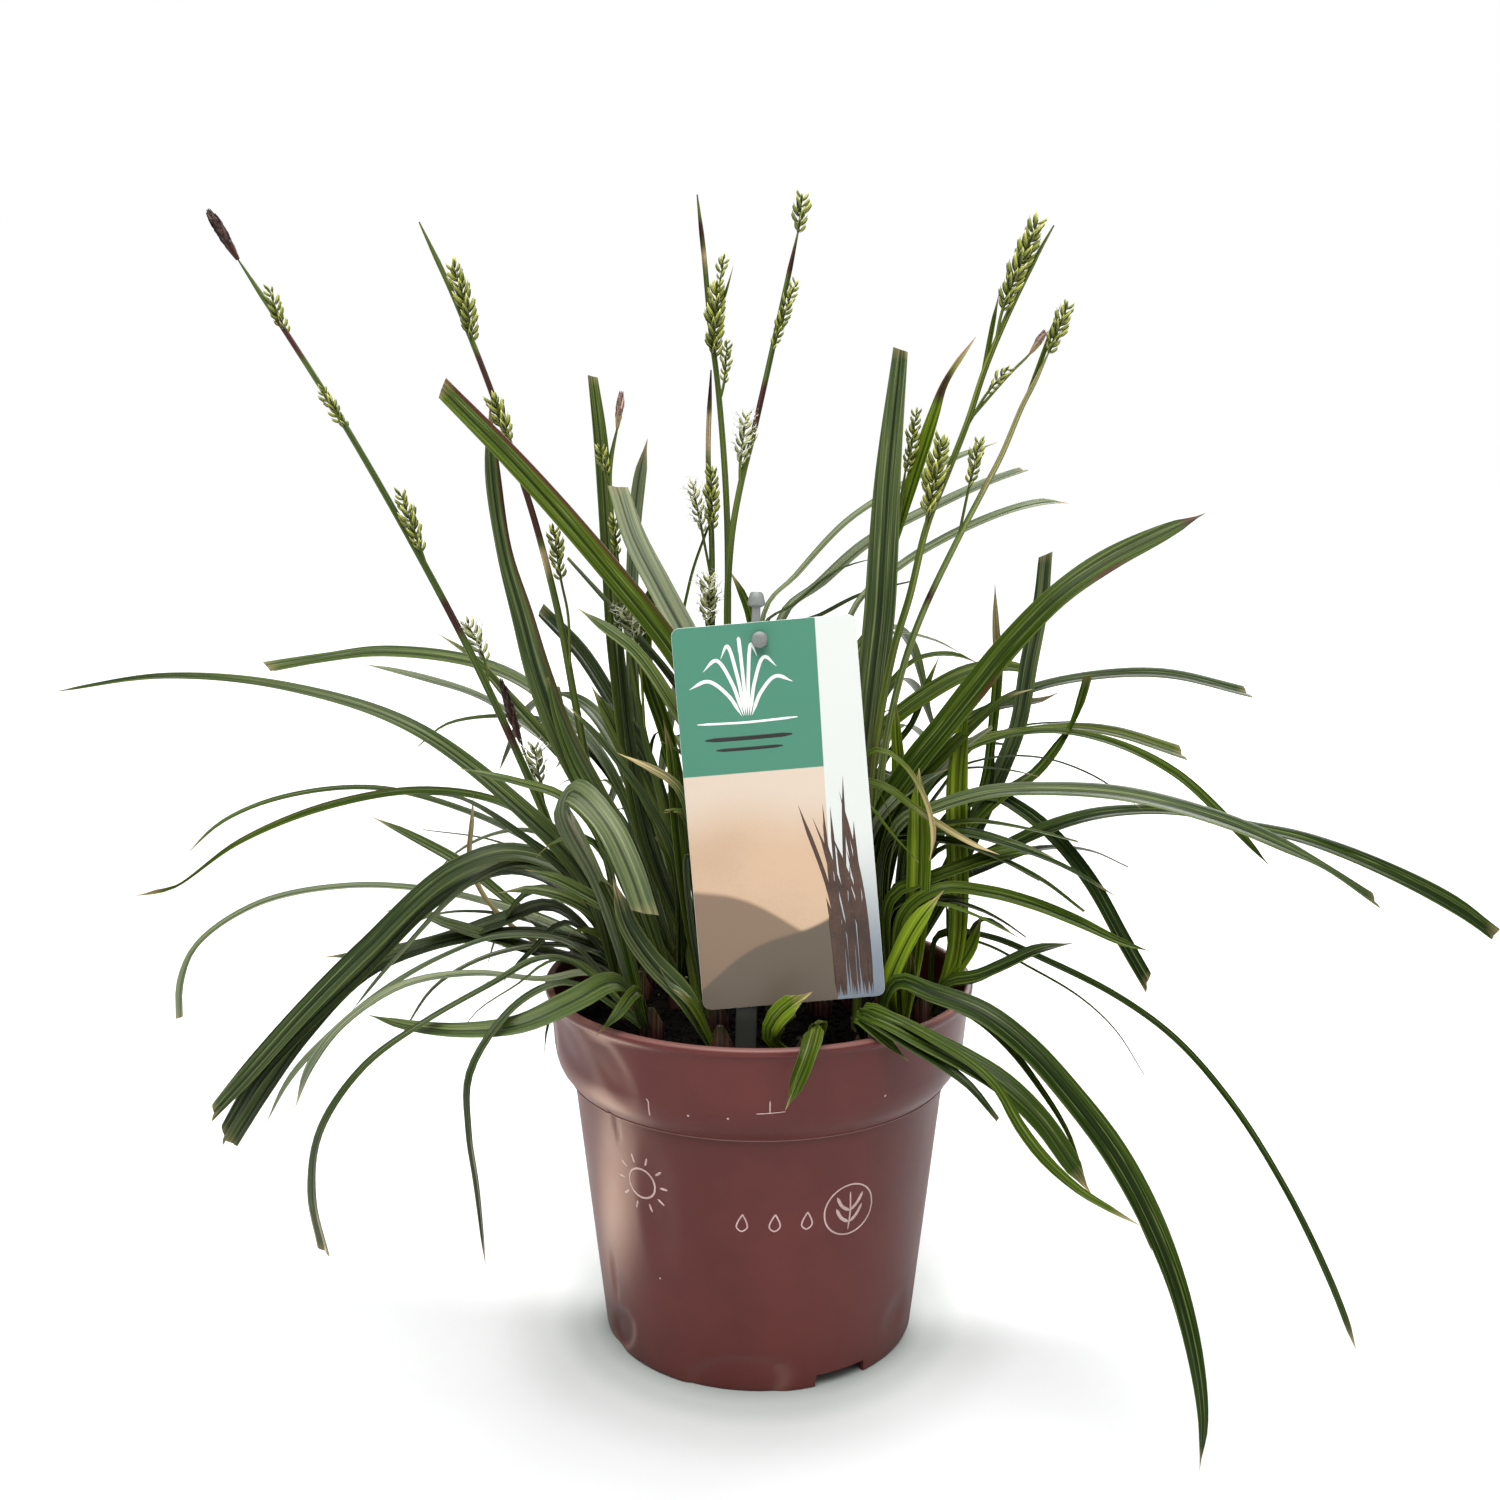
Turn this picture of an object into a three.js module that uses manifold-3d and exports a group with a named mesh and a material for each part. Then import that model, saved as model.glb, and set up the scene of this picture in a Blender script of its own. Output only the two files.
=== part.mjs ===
// Evergreen sedge in a nursery pot, with a picture label on a stake.
// Millimetres, +Z up. The pot stands on z = 0 round the origin; the label faces -Y.
import * as THREE from "three";
import { mergeVertices } from "three/addons/utils/BufferGeometryUtils.js";
import Module from "manifold-3d";

const wasm = await Module();
wasm.setup();

// ---- driving dimensions ----
const POT_HEIGHT = 120.5;
const POT_RIM_R = 70.6;
const POT_BASE_R = 52;
const BAND_R = 62.4; // the wall just under the rim band
const BAND_Z = 89;
const WALL = 1.8;
const FLOOR_Z = 5; // underside of the raised floor
const FLOOR_TOP = 7;
const BOSS_R = 14; // the middle of the floor comes down to the ground
const NOTCHES = 5;
const NOTCH_FIRST = -60; // degrees from +X
const NOTCH_W = 18;
const NOTCH_H = 4.4;
const DRAIN_HOLES = 8;
const SOIL_Z = 110;
const GAP = 0.3;
const HOLE_DEPTH = 14;
const STUB_R = 4.2; // sheathed base of a shoot
const STUB_TOP = 9;
const STEM_FOOT_R = 1.7;
const BLADE_T = 0.9;
const BACK_FAN = 16; // degrees
const CARD_W = 55;
const CARD_H = 115;
const CARD_T = 0.8;
const CARD_TILT = 0.108; // radians, in the plane of the stake
const CARD_AT = [8.2, 74.1]; // its middle, from the foot of the stake
const STAKE_W = 6.4;
const STAKE_T = 1.6;
const STAKE_FOOT = [-4.3, -50.2, 111];
const STAKE_LENGTH = 136; // above its foot
const STAKE_DEPTH = 40; // below it
const RIVET_AT = [1.2, 125.8]; // across and up the stake
const RIVET_R = 1.1;

// Outside of the pot from the ground up, then its inside down to the floor, as [radius, z].
const POT_PROFILE = [
  [0, 0],
  [BOSS_R, 0],
  [BOSS_R, FLOOR_Z],
  [POT_BASE_R - WALL, FLOOR_Z],
  [POT_BASE_R - WALL, 0],
  [POT_BASE_R, 0],
  [BAND_R - 0.8, BAND_Z - 0.6],
  [BAND_R + 0.6, BAND_Z + 0.4],
  [64.9, 91.8],
  [66.8, 95],
  [67.9, 99.5],
  [69.6, 117.6],
  [POT_RIM_R, 118.2],
  [POT_RIM_R, POT_HEIGHT],
  [POT_RIM_R - 2.6, POT_HEIGHT],
  [66.2, 100],
  [64.9, 96],
  [BAND_R - 2, BAND_Z + 1],
  [POT_BASE_R - WALL, FLOOR_TOP],
  [0, FLOOR_TOP],
];
const SOIL_PROFILE = [
  [0, FLOOR_TOP + GAP],
  [POT_BASE_R - WALL - GAP, FLOOR_TOP + GAP],
  [BAND_R - 2.4, BAND_Z + 1.2],
  [64.4, 96.2],
  [65.8, 100.2],
  [66.3, SOIL_Z - 2],
  [58, SOIL_Z],
  [0, SOIL_Z],
];

// Blades and stems are set out on a front elevation (x, z at the pot's axis) drawn from EYE,
// then slid along the line of sight to the depth y, so that each keeps its place in the elevation.
const EYE = new THREE.Vector3(-2.9, -510, 290);

function place(x, z, y) {
  const k = (y - EYE.y) / -EYE.y;
  return new THREE.Vector3(EYE.x + (x - EYE.x) * k, y, EYE.z + (z - EYE.z) * k);
}

// One shoot a row: root x, root y, then its blades.
// A blade: its end (tip, cut, dry, brown), how far its face is turned to the front (1 = wholly),
// and points [x, z, depth y, width seen].
const SHOOTS = {
  "left_front": [-34, -30, [
    ["cut", 0.9, [[-52,150,-40,5], [-63,175,-50,7], [-60,182,-58,8], [-50,171,-68,9],
      [-43,156,-74,9], [-38,141,-78,8]]],
    ["tip", 0.8, [[-48,117,-50,6], [-62,110,-62,8], [-80,102,-70,6.5], [-100,100,-72,5],
      [-118,102,-70,3.5], [-131,106,-66,1]]],
    ["tip", 0.7, [[-60,116,-42,2], [-72,115,-58,2.5], [-85,105,-72,2.5], [-97,85,-84,2.6],
      [-98,65,-84,2.2],
      [-96,45,-80,2], [-94,15,-76,0.7]]],
    ["cut", 0.6, [[-62,124,-34,1.6], [-74,125,-46,2], [-88,117,-58,2], [-112,103,-74,2],
      [-132,88,-80,2.4],
      [-148,65,-80,2.6], [-152,42,-76,3], [-149,21,-70,3.4]]],
    ["tip", 0.8, [[-48,140,-35,4], [-60,149,-40,4], [-70,154,-41,3], [-77,156,-41,0.8]]]]],
  "left_low": [-12, -46, [
    ["tip", 0.8, [[-26,113,-52,7], [-36,124,-54,7], [-44,137,-56,6.5], [-48,153,-57,3]]]]],
  "left_long": [-43, -10, [
    ["tip", 0.75, [[-56,150,-26,7.5], [-78,176,-42,6], [-112,203,-46,4.5], [-150,216,-42,3],
      [-190,220,-34,2],
      [-227,215,-26,0.8]]],
    ["tip", 0.7, [[-52,165,-33,3], [-64,180,-46,3], [-78,185,-54,2.5], [-90,188,-56,2],
      [-98,190,-56,0.7]]],
    ["tip", 0.5, [[-56,120,-18,2], [-72,118,-24,2], [-95,120,-34,2.2], [-118,116,-42,2.5],
      [-138,103,-48,2.6],
      [-150,88,-50,3], [-157,72,-50,1]]],
    ["tip", 0.5, [[-62,130,-16,1.6], [-85,133,-20,1.6], [-105,126,-26,1.6], [-125,114,-34,2],
      [-143,99,-41,2],
      [-157,84,-45,2], [-167,67,-45,0.8]]],
    ["tip", 0.8, [[-46,130,-15,4], [-55,141,-19,4.5], [-66,147,-21,4], [-77,149,-21,2.5],
      [-86,148,-21,0.8]]]]],
  "left_bundle": [-40, 6, [
    ["cut", 0.65, [[-58,150,-8,6], [-80,161,-18,6], [-100,155,-24,6.2], [-130,128,-28,6.4],
      [-150,108,-30,6.4],
      [-170,86,-30,6.2], [-184,71,-28,4]]],
    ["cut", 0.6, [[-60,146,-4,5], [-82,156,-12,5.5], [-104,147,-18,6], [-130,122,-22,5.6],
      [-150,103,-25,5.4],
      [-166,86,-26,5.6], [-181,63,-26,4]]],
    ["cut", 0.55, [[-54,128,2,3.5], [-70,133,0,4], [-90,133,-6,4], [-110,129,-12,4.5],
      [-130,120,-17,4.6],
      [-150,100,-20,5], [-165,80,-20,5.4], [-178,60,-20,5]]],
    ["tip", 0.6, [[-68,143,2,4], [-85,138,-1,5], [-105,131,-5,4.6], [-125,127,-9,3.5],
      [-145,126,-10,0.8]]],
    ["tip", 0.5, [[-60,124,0,3.5], [-72,127,-4,4], [-85,131,-6,4], [-98,135,-7,4], [-108,139,-8,3],
      [-117,147,-8,0.8]]]]],
  "left_pale": [-38, 20, [
    ["cut", 0.45, [[-62,133,14,3], [-80,141,14,2.6], [-105,148,14,2.2], [-135,150,12,2], [-165,144,8,2],
      [-186,130,4,1.8], [-192,117,2,2.4], [-193,105,0,2.4]]],
    ["tip", 0.7, [[-62,130,19,3], [-80,143,21,3], [-97,157,22,3.6], [-112,166,22,3],
      [-127,174,20,0.7]]],
    ["dry", 0.8, [[-72,130,9,1.6], [-88,143,6,1.6], [-95,158,2,1.8], [-94,172,0,1.6],
      [-93,181,0,0.7]]]]],
  "left_back": [-28, 36, [
    ["tip", 0.45, [[-52,146,40,2], [-72,163,45,2.2], [-95,175,50,2], [-125,183,52,1.7],
      [-155,180,50,1.6],
      [-175,172,47,1.2], [-188,161,44,0.7]]],
    ["brown", 0.5, [[-58,158,33,2.5], [-82,177,34,2.6], [-108,182,35,2.6], [-140,177,35,2.6],
      [-170,165,33,1.8],
      [-192,150,30,0.9], [-199,148,30,1.6], [-206,147,30,0.7]]],
    ["cut", 0.4, [[-50,190,36,3.5], [-72,214,38,4], [-90,223,38,4], [-120,227,36,3.6],
      [-140,225,33,3], [-157,222,30,3.6]]],
    ["tip", 0.45, [[-50,180,46,2], [-75,203,50,2.6], [-90,213,52,2.2], [-108,219,52,2.2],
      [-127,224,50,0.8]]],
    ["tip", 0.7, [[-50,178,25,4], [-66,196,26,4], [-80,212,26,3.4], [-92,226,25,2],
      [-103,234,24,0.7]]]]],
  "left_tall": [-26, 2, [
    ["tip", 0.95, [[-46,165,0,8], [-55,182,-2,9], [-64,200,-2,9], [-71,220,-2,8.5], [-76,240,-2,7],
      [-81,260,0,5],
      [-84,285,2,4.8], [-84,306,2,0.8]]],
    ["tip", 0.8, [[-28,160,-14,2.6], [-34,174,-15,2.6], [-48,195,-16,2.6], [-62,211,-15,1]]]]],
  "left_inner": [-14, -22, [
    ["tip", 0.7, [[-24,140,-25,3.5], [-28,180,-28,4], [-29,195,-28,3], [-31,206,-28,0.8]]],
    ["dry", 0.8, [[-22,170,-30,3], [-27,184,-31,3], [-34,189,-31,2.6], [-46,195,-31,0.8]]],
    ["tip", 0.8, [[-18,190,-24,4], [-29,212,-24,4.4], [-40,228,-23,4], [-50,236,-21,3.4],
      [-58,242,-19,0.8]]]]],
  "mid_left": [-16, 16, [
    ["cut", 0.9, [[-38,170,12,6], [-46,225,14,5.5], [-48,260,14,5], [-50,295,13,4.4], [-52,314,13,3]]],
    ["tip", 0.8, [[-32,170,22,4], [-40,205,25,4], [-41,240,26,4], [-40,265,26,4], [-38,283,24,4],
      [-35,295,22,1.5]]],
    ["cut", 0.7, [[-36,190,16,5], [-48,212,18,5], [-58,228,20,5], [-70,241,20,4]]],
    ["tip", 0.8, [[-30,165,10,5], [-38,183,11,5.5], [-47,203,12,5.5], [-54,217,13,1.5]]],
    ["cut", 0.9, [[-24,170,6,4], [-30,200,8,5], [-37,225,9,5], [-35,245,9,4.4], [-32,250,9,3.6]]]]],
  "mid_cross": [6, 4, [
    ["cut", 0.8, [[2,170,-6,7], [-12,200,-10,7.5], [-28,228,-12,7.5], [-50,256,-12,7.5],
      [-75,285,-10,7], [-99,310,-8,6]]],
    ["cut", 0.85, [[-2,185,-2,7], [-20,225,-3,8], [-32,248,-3,8], [-40,264,-3,7.4], [-45,280,-2,6]]],
    ["tip", 0.7, [[2,180,13,3], [-2,220,18,3], [-3,238,19,3], [-6,247,19,2.4], [-10,255,19,0.8]]]]],
  "mid_right": [20, -6, [
    ["cut", 0.92, [[30,160,-10,8.5], [35,200,-12,9], [37,220,-12,9.5], [39,240,-12,10],
      [40,262,-10,9.5],
      [41,285,-8,8], [44,322,-4,4.6]]],
    ["dry", 0.8, [[28,182,-26,2], [38,196,-30,2], [46,192,-33,2], [52,184,-35,2], [56,174,-37,2],
      [57,166,-38,2.4],
      [56,159,-38,1]]],
    ["dry", 0.7, [[28,184,-24,3], [40,184,-31,3], [50,177,-35,3], [62,169,-36,2.8], [71,164,-36,2],
      [79,161,-35,0.7]]]]],
  "right_back": [22, 40, [
    ["cut", 0.4, [[8,238,60,3], [20,249,66,3.2], [35,262,72,3.5], [55,273,78,3], [72,281,82,2.5],
      [83,285,84,2]]],
    ["tip", 0.45, [[2,240,50,1.6], [12,252,55,1.8], [28,269,60,2], [45,280,64,2.2], [60,288,66,2],
      [75,294,68,0.7]]],
    ["tip", 0.45, [[30,240,60,2], [44,254,66,2.5], [60,264,72,2.6], [78,272,78,2.4],
      [90,275,80,2.2], [98,275,82,0.7]]],
    ["cut", 0.7, [[30,190,38,5], [42,204,38,5], [55,214,38,5.5], [68,221,38,5], [80,223,38,3.5],
      [88,221,38,2]]],
    ["tip", 0.6, [[38,210,46,1.6], [50,225,48,1.6], [62,227,48,1.6], [71,224,48,1]]],
    ["tip", 0.6, [[40,190,42,2], [50,205,42,2], [54,216,42,2], [58,227,42,0.7]]]]],
  "right_wide": [31, 4, [
    ["brown", 0.85, [[40,172,-12,6], [50,190,-17,8], [60,203,-20,8], [70,216,-20,8.5],
      [80,229,-20,8], [95,245,-20,7.5],
      [110,256,-18,7.5], [127,265,-16,5.5], [141,272,-14,0.8]]],
    ["tip", 0.8, [[42,160,-8,4], [46,185,-8,5], [45,200,-8,3.5], [44,213,-8,0.8]]]]],
  "right_tall": [46, 22, [
    ["cut", 0.95, [[62,150,20,6], [73,175,20,6], [80,192,20,5.5], [84,204,20,5.5], [87,225,20,5.8],
      [90,243,20,5],
      [91,259,20,4.2]]],
    ["dry", 0.85, [[60,150,27,3], [73,182,28,3], [76,205,28,3.2], [77,225,28,3.2], [76,235,27,2.4],
      [75,250,26,0.7]]],
    ["cut", 0.4, [[50,170,31,3], [60,190,34,3], [70,205,36,3], [85,214,38,3], [105,219,40,3],
      [130,220,40,3.2],
      [157,214,38,3.2]]],
    ["brown", 0.5, [[50,180,33,2], [62,201,37,3], [75,209,41,3], [85,211,43,2.5], [91,212,44,2],
      [97,215,44,0.7]]]]],
  "right_mid": [45, 6, [
    ["cut", 0.45, [[50,170,6,2], [58,192,8,2.5], [70,199,10,2], [85,202,10,1.8], [100,203,10,2.5],
      [115,201,10,3.5],
      [137,194,8,4]]],
    ["tip", 0.6, [[48,165,2,2], [60,190,4,2.5], [75,199,5,2], [95,202,5,2], [115,198,4,2.6],
      [135,188,2,3],
      [152,173,2,3], [160,165,2,2.2], [168,157,2,0.7]]],
    ["cut", 0.8, [[66,165,0,3], [80,181,2,3.5], [90,188,4,3.5], [97,197,5,3], [101,204,6,1.6],
      [104,212,6,2.8], [106,220,6,2.8]]],
    ["cut", 0.7, [[55,160,3,4], [65,175,4,4.5], [74,181,4,4.5], [85,176,3,4.5], [97,166,1,4.8],
      [109,151,-1,5],
      [120,132,-3,5], [129,117,-4,4.8]]],
    ["cut", 0.45, [[46,148,-2,4], [60,153,-4,4], [78,161,-6,4.2], [95,169,-7,4.5], [112,174,-7,4],
      [135,175,-6,3],
      [160,170,-5,3], [180,165,-5,4], [205,155,-5,5], [230,142,-5,5.5], [243,133,-5,4.5]]]]],
  "right_grey": [40, -14, [
    ["cut", 0.5, [[46,170,-22,4], [58,176,-24,4.2], [75,181,-26,4.5], [95,182,-26,4.5],
      [120,180,-24,5], [150,172,-20,5],
      [170,164,-18,4.5], [185,157,-16,2.2], [203,145,-14,3]]]]],
  "right_edge": [54, -14, [
    ["tip", 0.95, [[64,121,-20,5.5], [66,133,-20,6], [66,150,-18,7], [65,170,-16,7],
      [65,190,-14,6.5], [67,213,-12,1]]],
    ["tip", 0.8, [[66,121,-22,4], [71,130,-21,4.4], [74,141,-20,1]]],
    ["tip", 0.6, [[63,117,-26,3], [73,119,-31,4], [82,123,-31,4], [92,128,-30,3.5], [105,131,-28,0.8]]],
    ["tip", 0.8, [[60,134,-12,2], [76,133,-14,2], [95,125,-16,2.2], [120,112,-18,2.2],
      [140,97,-22,2.2], [160,74,-28,2.2],
      [180,43,-32,2.2], [197,10,-36,2.4], [208,-16,-38,2.2]]],
    ["tip", 0.8, [[68,130,-13,1.6], [74,139,-13,1.6], [87,132,-13,0.8]]]]],
  "right_front": [44, -28, [
    ["tip", 0.7, [[48,140,-30,4], [60,149,-32,4], [75,148,-32,4.2], [90,144,-30,4.2],
      [105,138,-28,3.8], [120,131,-26,2.5],
      [130,128,-24,0.8]]],
    ["tip", 0.85, [[44,117,-36,5.5], [47,126,-36,6], [53,138,-36,6], [61,149,-36,1]]],
    ["tip", 0.9, [[52,130,-27,7], [53,150,-28,8], [53,170,-29,7.5], [52,190,-29,2]]],
    ["tip", 0.7, [[44,146,-26,4], [55,152,-27,4], [68,157,-28,4.5], [80,161,-28,4.5],
      [88,162,-27,3], [94,159,-26,0.8]]]]],
  "right_low": [33, -44, [
    ["tip", 0.85, [[46,117,-48,5], [58,113,-56,6.5], [75,106,-64,7.5], [90,94,-70,8],
      [105,77,-77,8.5], [120,57,-84,9],
      [133,34,-92,8.5], [144,8,-100,7], [152,-20,-106,5.5], [156,-44,-110,3.5], [156,-63,-112,0.8]]],
    ["tip", 0.85, [[36,106,-56,5], [44,103,-63,6.5], [55,97,-68,7.5], [68,90,-73,8], [82,81,-79,8],
      [96,67,-85,7.5],
      [107,51,-90,6], [114,41,-94,1]]],
    ["tip", 0.7, [[36,108,-55,3], [46,104,-62,3], [60,96,-72,3], [72,88,-78,3], [80,80,-83,3],
      [88,66,-88,4], [97,54,-94,4], [109,43,-98,3], [120,36,-100,2.2], [131,30,-102,2]]]]],
  "front_short": [14, -54, [
    ["tip", 0.9, [[20,104,-62,5], [19,99,-69,6], [17,92,-76,6], [13,81,-78,5], [9,72,-77,0.8]]],
    ["tip", 0.85, [[4,98,-58,5], [6,104,-62,7], [11,109,-64,7], [18,114,-66,1]]]]],
};

// Shoots at the back: root x, root y, heading of the fan in degrees from +X, and the shortest and
// longest blade's reach and rise.
const BACK_SHOOTS = {
  "back_a": [28, 51, 58, [45, 130], [45, 92]],
  "back_b": [13, 54, 73, [50, 150], [55, 112]],
  "back_c": [-1, 58, 89, [40, 140], [50, 98]],
  "back_d": [-15, 54, 105, [50, 150], [55, 108]],
  "back_e": [-29, 50, 120, [45, 125], [45, 88]],
};
const BACK_BLADES = 4;

// One flowering stem a row: root x, root y, stem points [x, z, y], spikes, bracts.
// A spike: kind (f seed-bearing, m pollen), points [x, z, y] from the stem out, where its scales
// begin (point number), width. Bracts are blades whose first point is on the stem.
const CULMS = {
  "culm_a": [-47, 30, [[-58,150,20], [-68,170,11], [-75,187,4], [-85,211,-2], [-95,233,-3],
      [-110,263,-4],
    [-130,300,-4], [-145,325,-3], [-160,349,-2]], [
    ["m", [[-160,349,-2], [-168,363,-2]], 0, 3.4],
    ["f", [[-146,327,-3], [-148,331,-3], [-151,340,-4]], 0, 3.4],
    ["f", [[-129,298,-4], [-131,301,-5], [-136,310,-6]], 0, 3.2],
    ["f", [[-105,253,-4], [-107,260,-5], [-113,278,-6]], 1, 4],
    ["f", [[-87,215,-2], [-88,225,0], [-93,237,1]], 1, 3.6],
    ["f", [[-69,173,10], [-71,184,10], [-73,197,11]], 1, 3.6],
    ["m", [[-66,166,13], [-72,184,14], [-77,198,14], [-83,219,13]], 2, 3.4]], []],
  "culm_b": [-26, 18, [[-44,150,16], [-54,183,15], [-59,210,13], [-64,240,11], [-71,270,9],
      [-78,293,8], [-85,314,5],
    [-95,340,4], [-104,360,3]], [
    ["f", [[-88,325,5], [-90,333,2], [-94,347,1]], 0, 4.6],
    ["f", [[-76,288,8], [-78,294,5], [-83,307,3]], 1, 4.4],
    ["f", [[-60,220,12], [-61,240,8], [-63,251,7], [-65,267,6]], 2, 4]], []],
  "culm_c": [-20, -6, [[-30,170,0], [-38,205,3], [-43,240,5], [-46,264,5], [-47,285,5], [-44,300,5]], [
    ["m", [[-44,300,5], [-43,307,5]], 0, 2.4],
    ["f", [[-47,278,5], [-48,284,4], [-50,292,3]], 1, 3.2],
    ["f", [[-44,250,5], [-45,259,3], [-46,270,2]], 1, 3],
    ["f", [[-36,200,3], [-39,230,1], [-43,241,0]], 1, 4]], []],
  "culm_d": [-6, 18, [[-10,180,14], [-10,230,12], [-10,265,10], [-11,288,8], [-13,312,8],
      [-15,328,8], [-17,350,8],
    [-19,368,8]], [
    ["f", [[-14,320,8], [-14,326,6], [-13,341,5]], 0, 4.8],
    ["f", [[-14,324,8], [-12,343,8], [-11,349,8]], 1, 3],
    ["f", [[-12,306,8], [-11,312,8], [-10,324,8]], 1, 2.8]], [
    ["tip", 0.8, [[-14,326,8,1], [-10,340,9,1], [-8,347,9,0.8]]]]],
  "culm_k": [-18, 30, [[-14,180,26], [-15,220,22], [-15,262,19], [-16,290,18], [-15,316,17]], [
    ["f", [[-15,260,19], [-15,267,16], [-15,285,15]], 1, 4],
    ["f", [[-15,250,20], [-18,266,18], [-21,281,17]], 1, 3.2],
    ["f", [[-15,228,21], [-16,236,18], [-16,251,17]], 1, 4.6]], [
    ["tip", 0.8, [[-15,205,23,1], [-25,225,21,1], [-22,250,21,1], [-14,273,19,0.8]]]]],
  "culm_e": [4, -16, [[-4,180,-12], [-10,230,-8], [-9,262,-7], [-6,280,-6], [-2,296,-5], [4,322,-4],
      [8,340,-3],
    [12,358,-3]], [
    ["f", [[12,357,-3], [13,367,-3]], 0, 4],
    ["f", [[4,322,-4], [6,328,-4], [11,342,-4]], 0, 3.2],
    ["f", [[-6,280,-6], [-6,287,-8], [-4,302,-9]], 1, 3.5]], [
    ["tip", 0.8, [[-7,277,-6,1], [-4,289,-5,1], [0,297,-4,0.8]]]]],
  "culm_h": [26, 14, [[32,190,4], [38,235,4], [43,262,3], [46,286,3]], [
    ["f", [[46,285,3], [47,289,3], [49,303,3]], 0, 3.4],
    ["f", [[33,200,4], [36,214,14], [36,224,20]], 1, 4]], [
    ["brown", 0.8, [[43,262,3,2], [48,280,3,3], [52,293,4,3.4], [55,303,5,2.6], [58,312,5,1.4],
      [67,326,6,0.8]]]]],
  "culm_f": [31, -22, [[37,190,-18], [43,228,-17], [48,246,-16], [53,268,-14], [59,284,-13],
      [65,300,-12], [70,316,-11],
    [76,331,-10], [85,350,-8], [90,359,-8]], [
    ["f", [[73,324,-11], [75,334,-12], [85,360,-12]], 1, 5],
    ["f", [[51,262,-15], [53,271,-16], [57,294,-17]], 1, 5],
    ["f", [[64,297,-12], [71,309,-12], [77,316,-12]], 1, 2.8],
    ["m", [[65,300,-12], [78,315,-9], [84,321,-9], [88,327,-9]], 2, 2.2]], [
    ["tip", 0.8, [[70,316,-11,1.6], [72,328,-10,1.6], [74,340,-10,0.8]]]]],
  "culm_g": [38, 24, [[40,190,14], [46,222,12], [52,240,12], [62,262,12], [70,278,14], [76,290,15],
      [82,305,16],
    [86,313,16], [90,322,16]], [
    ["f", [[90,321,16], [95,335,16]], 0, 4.2],
    ["f", [[63,264,12], [66,280,10], [69,294,10]], 1, 3.6]], [
    ["tip", 0.8, [[84,309,16,1.4], [90,326,18,1.6], [93,336,18,0.8]]]]],
};

// ---- solids ----
function solid(geometry, frame = new THREE.Matrix4()) {
  const bare = new THREE.BufferGeometry();
  bare.setAttribute("position", geometry.getAttribute("position"));
  bare.setIndex(geometry.index);
  const merged = mergeVertices(bare, 1e-4).applyMatrix4(frame);
  const index = merged.index.array;
  const triangles = [];
  for (let i = 0; i < index.length; i += 3) {
    const [a, b, c] = [index[i], index[i + 1], index[i + 2]];
    if (a !== b && b !== c && c !== a) triangles.push(a, b, c);
  }
  return new wasm.Manifold(
    new wasm.Mesh({
      numProp: 3,
      vertProperties: merged.attributes.position.array,
      triVerts: new Uint32Array(triangles),
    }),
  );
}

// Joined into one body. Hollows that the joining seals are filled.
function join(parts) {
  const bodies = parts.reduce((all, part) => all.add(part)).decompose();
  return bodies.reduce((most, body) => (body.volume() > most.volume() ? body : most));
}

const group = new THREE.Group();

function emit(name, body, colour) {
  const made = body.getMesh();
  const geometry = new THREE.BufferGeometry();
  geometry.setAttribute("position", new THREE.BufferAttribute(new Float32Array(made.vertProperties), 3));
  geometry.setIndex(new THREE.BufferAttribute(new Uint32Array(made.triVerts), 1));
  const mesh = new THREE.Mesh(geometry, new THREE.MeshStandardMaterial({ color: colour }));
  mesh.name = name;
  group.add(mesh);
}

// Rings of equal size, joined in order and closed by a fan at each end.
function skin(rings) {
  const n = rings[0].length;
  const index = [];
  for (let i = 0; i + 1 < rings.length; i++) {
    for (let j = 0; j < n; j++) {
      const a = i * n + j;
      const b = i * n + ((j + 1) % n);
      // Both faces of a blade are split from its edge to the middle of the next ring.
      if (j % 2 === 0) index.push(a, b, b + n, a, b + n, a + n);
      else index.push(a, b, a + n, b, b + n, a + n);
    }
  }
  const last = (rings.length - 1) * n;
  for (let j = 1; j + 1 < n; j++) {
    index.push(0, j + 1, j);
    index.push(last, last + j, last + j + 1);
  }
  const geometry = new THREE.BufferGeometry().setFromPoints(rings.flat());
  geometry.setIndex(index);
  return solid(geometry);
}

function revolve(profile, segments) {
  const points = profile.map(([r, z]) => new THREE.Vector2(r, z));
  return solid(new THREE.LatheGeometry(points, segments).rotateX(Math.PI / 2));
}

function cylinder(x, y, z0, z1, r, sides, rTop = r) {
  const geometry = new THREE.CylinderGeometry(rTop, r, z1 - z0, sides).rotateX(Math.PI / 2);
  return solid(geometry, new THREE.Matrix4().setPosition(x, y, (z0 + z1) / 2));
}

// A seeded run of numbers from 0 to 1.
function random(seed) {
  let state = seed >>> 0;
  return () => {
    state = (state + 0x6d2b79f5) >>> 0;
    let t = Math.imul(state ^ (state >>> 15), 1 | state);
    t = (t + Math.imul(t ^ (t >>> 7), 61 | t)) ^ t;
    return ((t ^ (t >>> 14)) >>> 0) / 4294967296;
  };
}

// ---- blades ----
// Rings round a curve, one at each of its points. ring(at, along, t) gives the points of one ring.
function sweep(points, ring) {
  const curve = new THREE.CatmullRomCurve3(points, false, "centripetal");
  const runs = points.length - 1;
  const rings = points.map((at, i) => ring(at, curve.getTangent(i / runs), i / runs));
  return skin(rings);
}

function between(values, t) {
  const s = t * (values.length - 1);
  const j = Math.min(values.length - 2, Math.floor(s));
  return values[j] + (values[j + 1] - values[j]) * (s - j);
}

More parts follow.
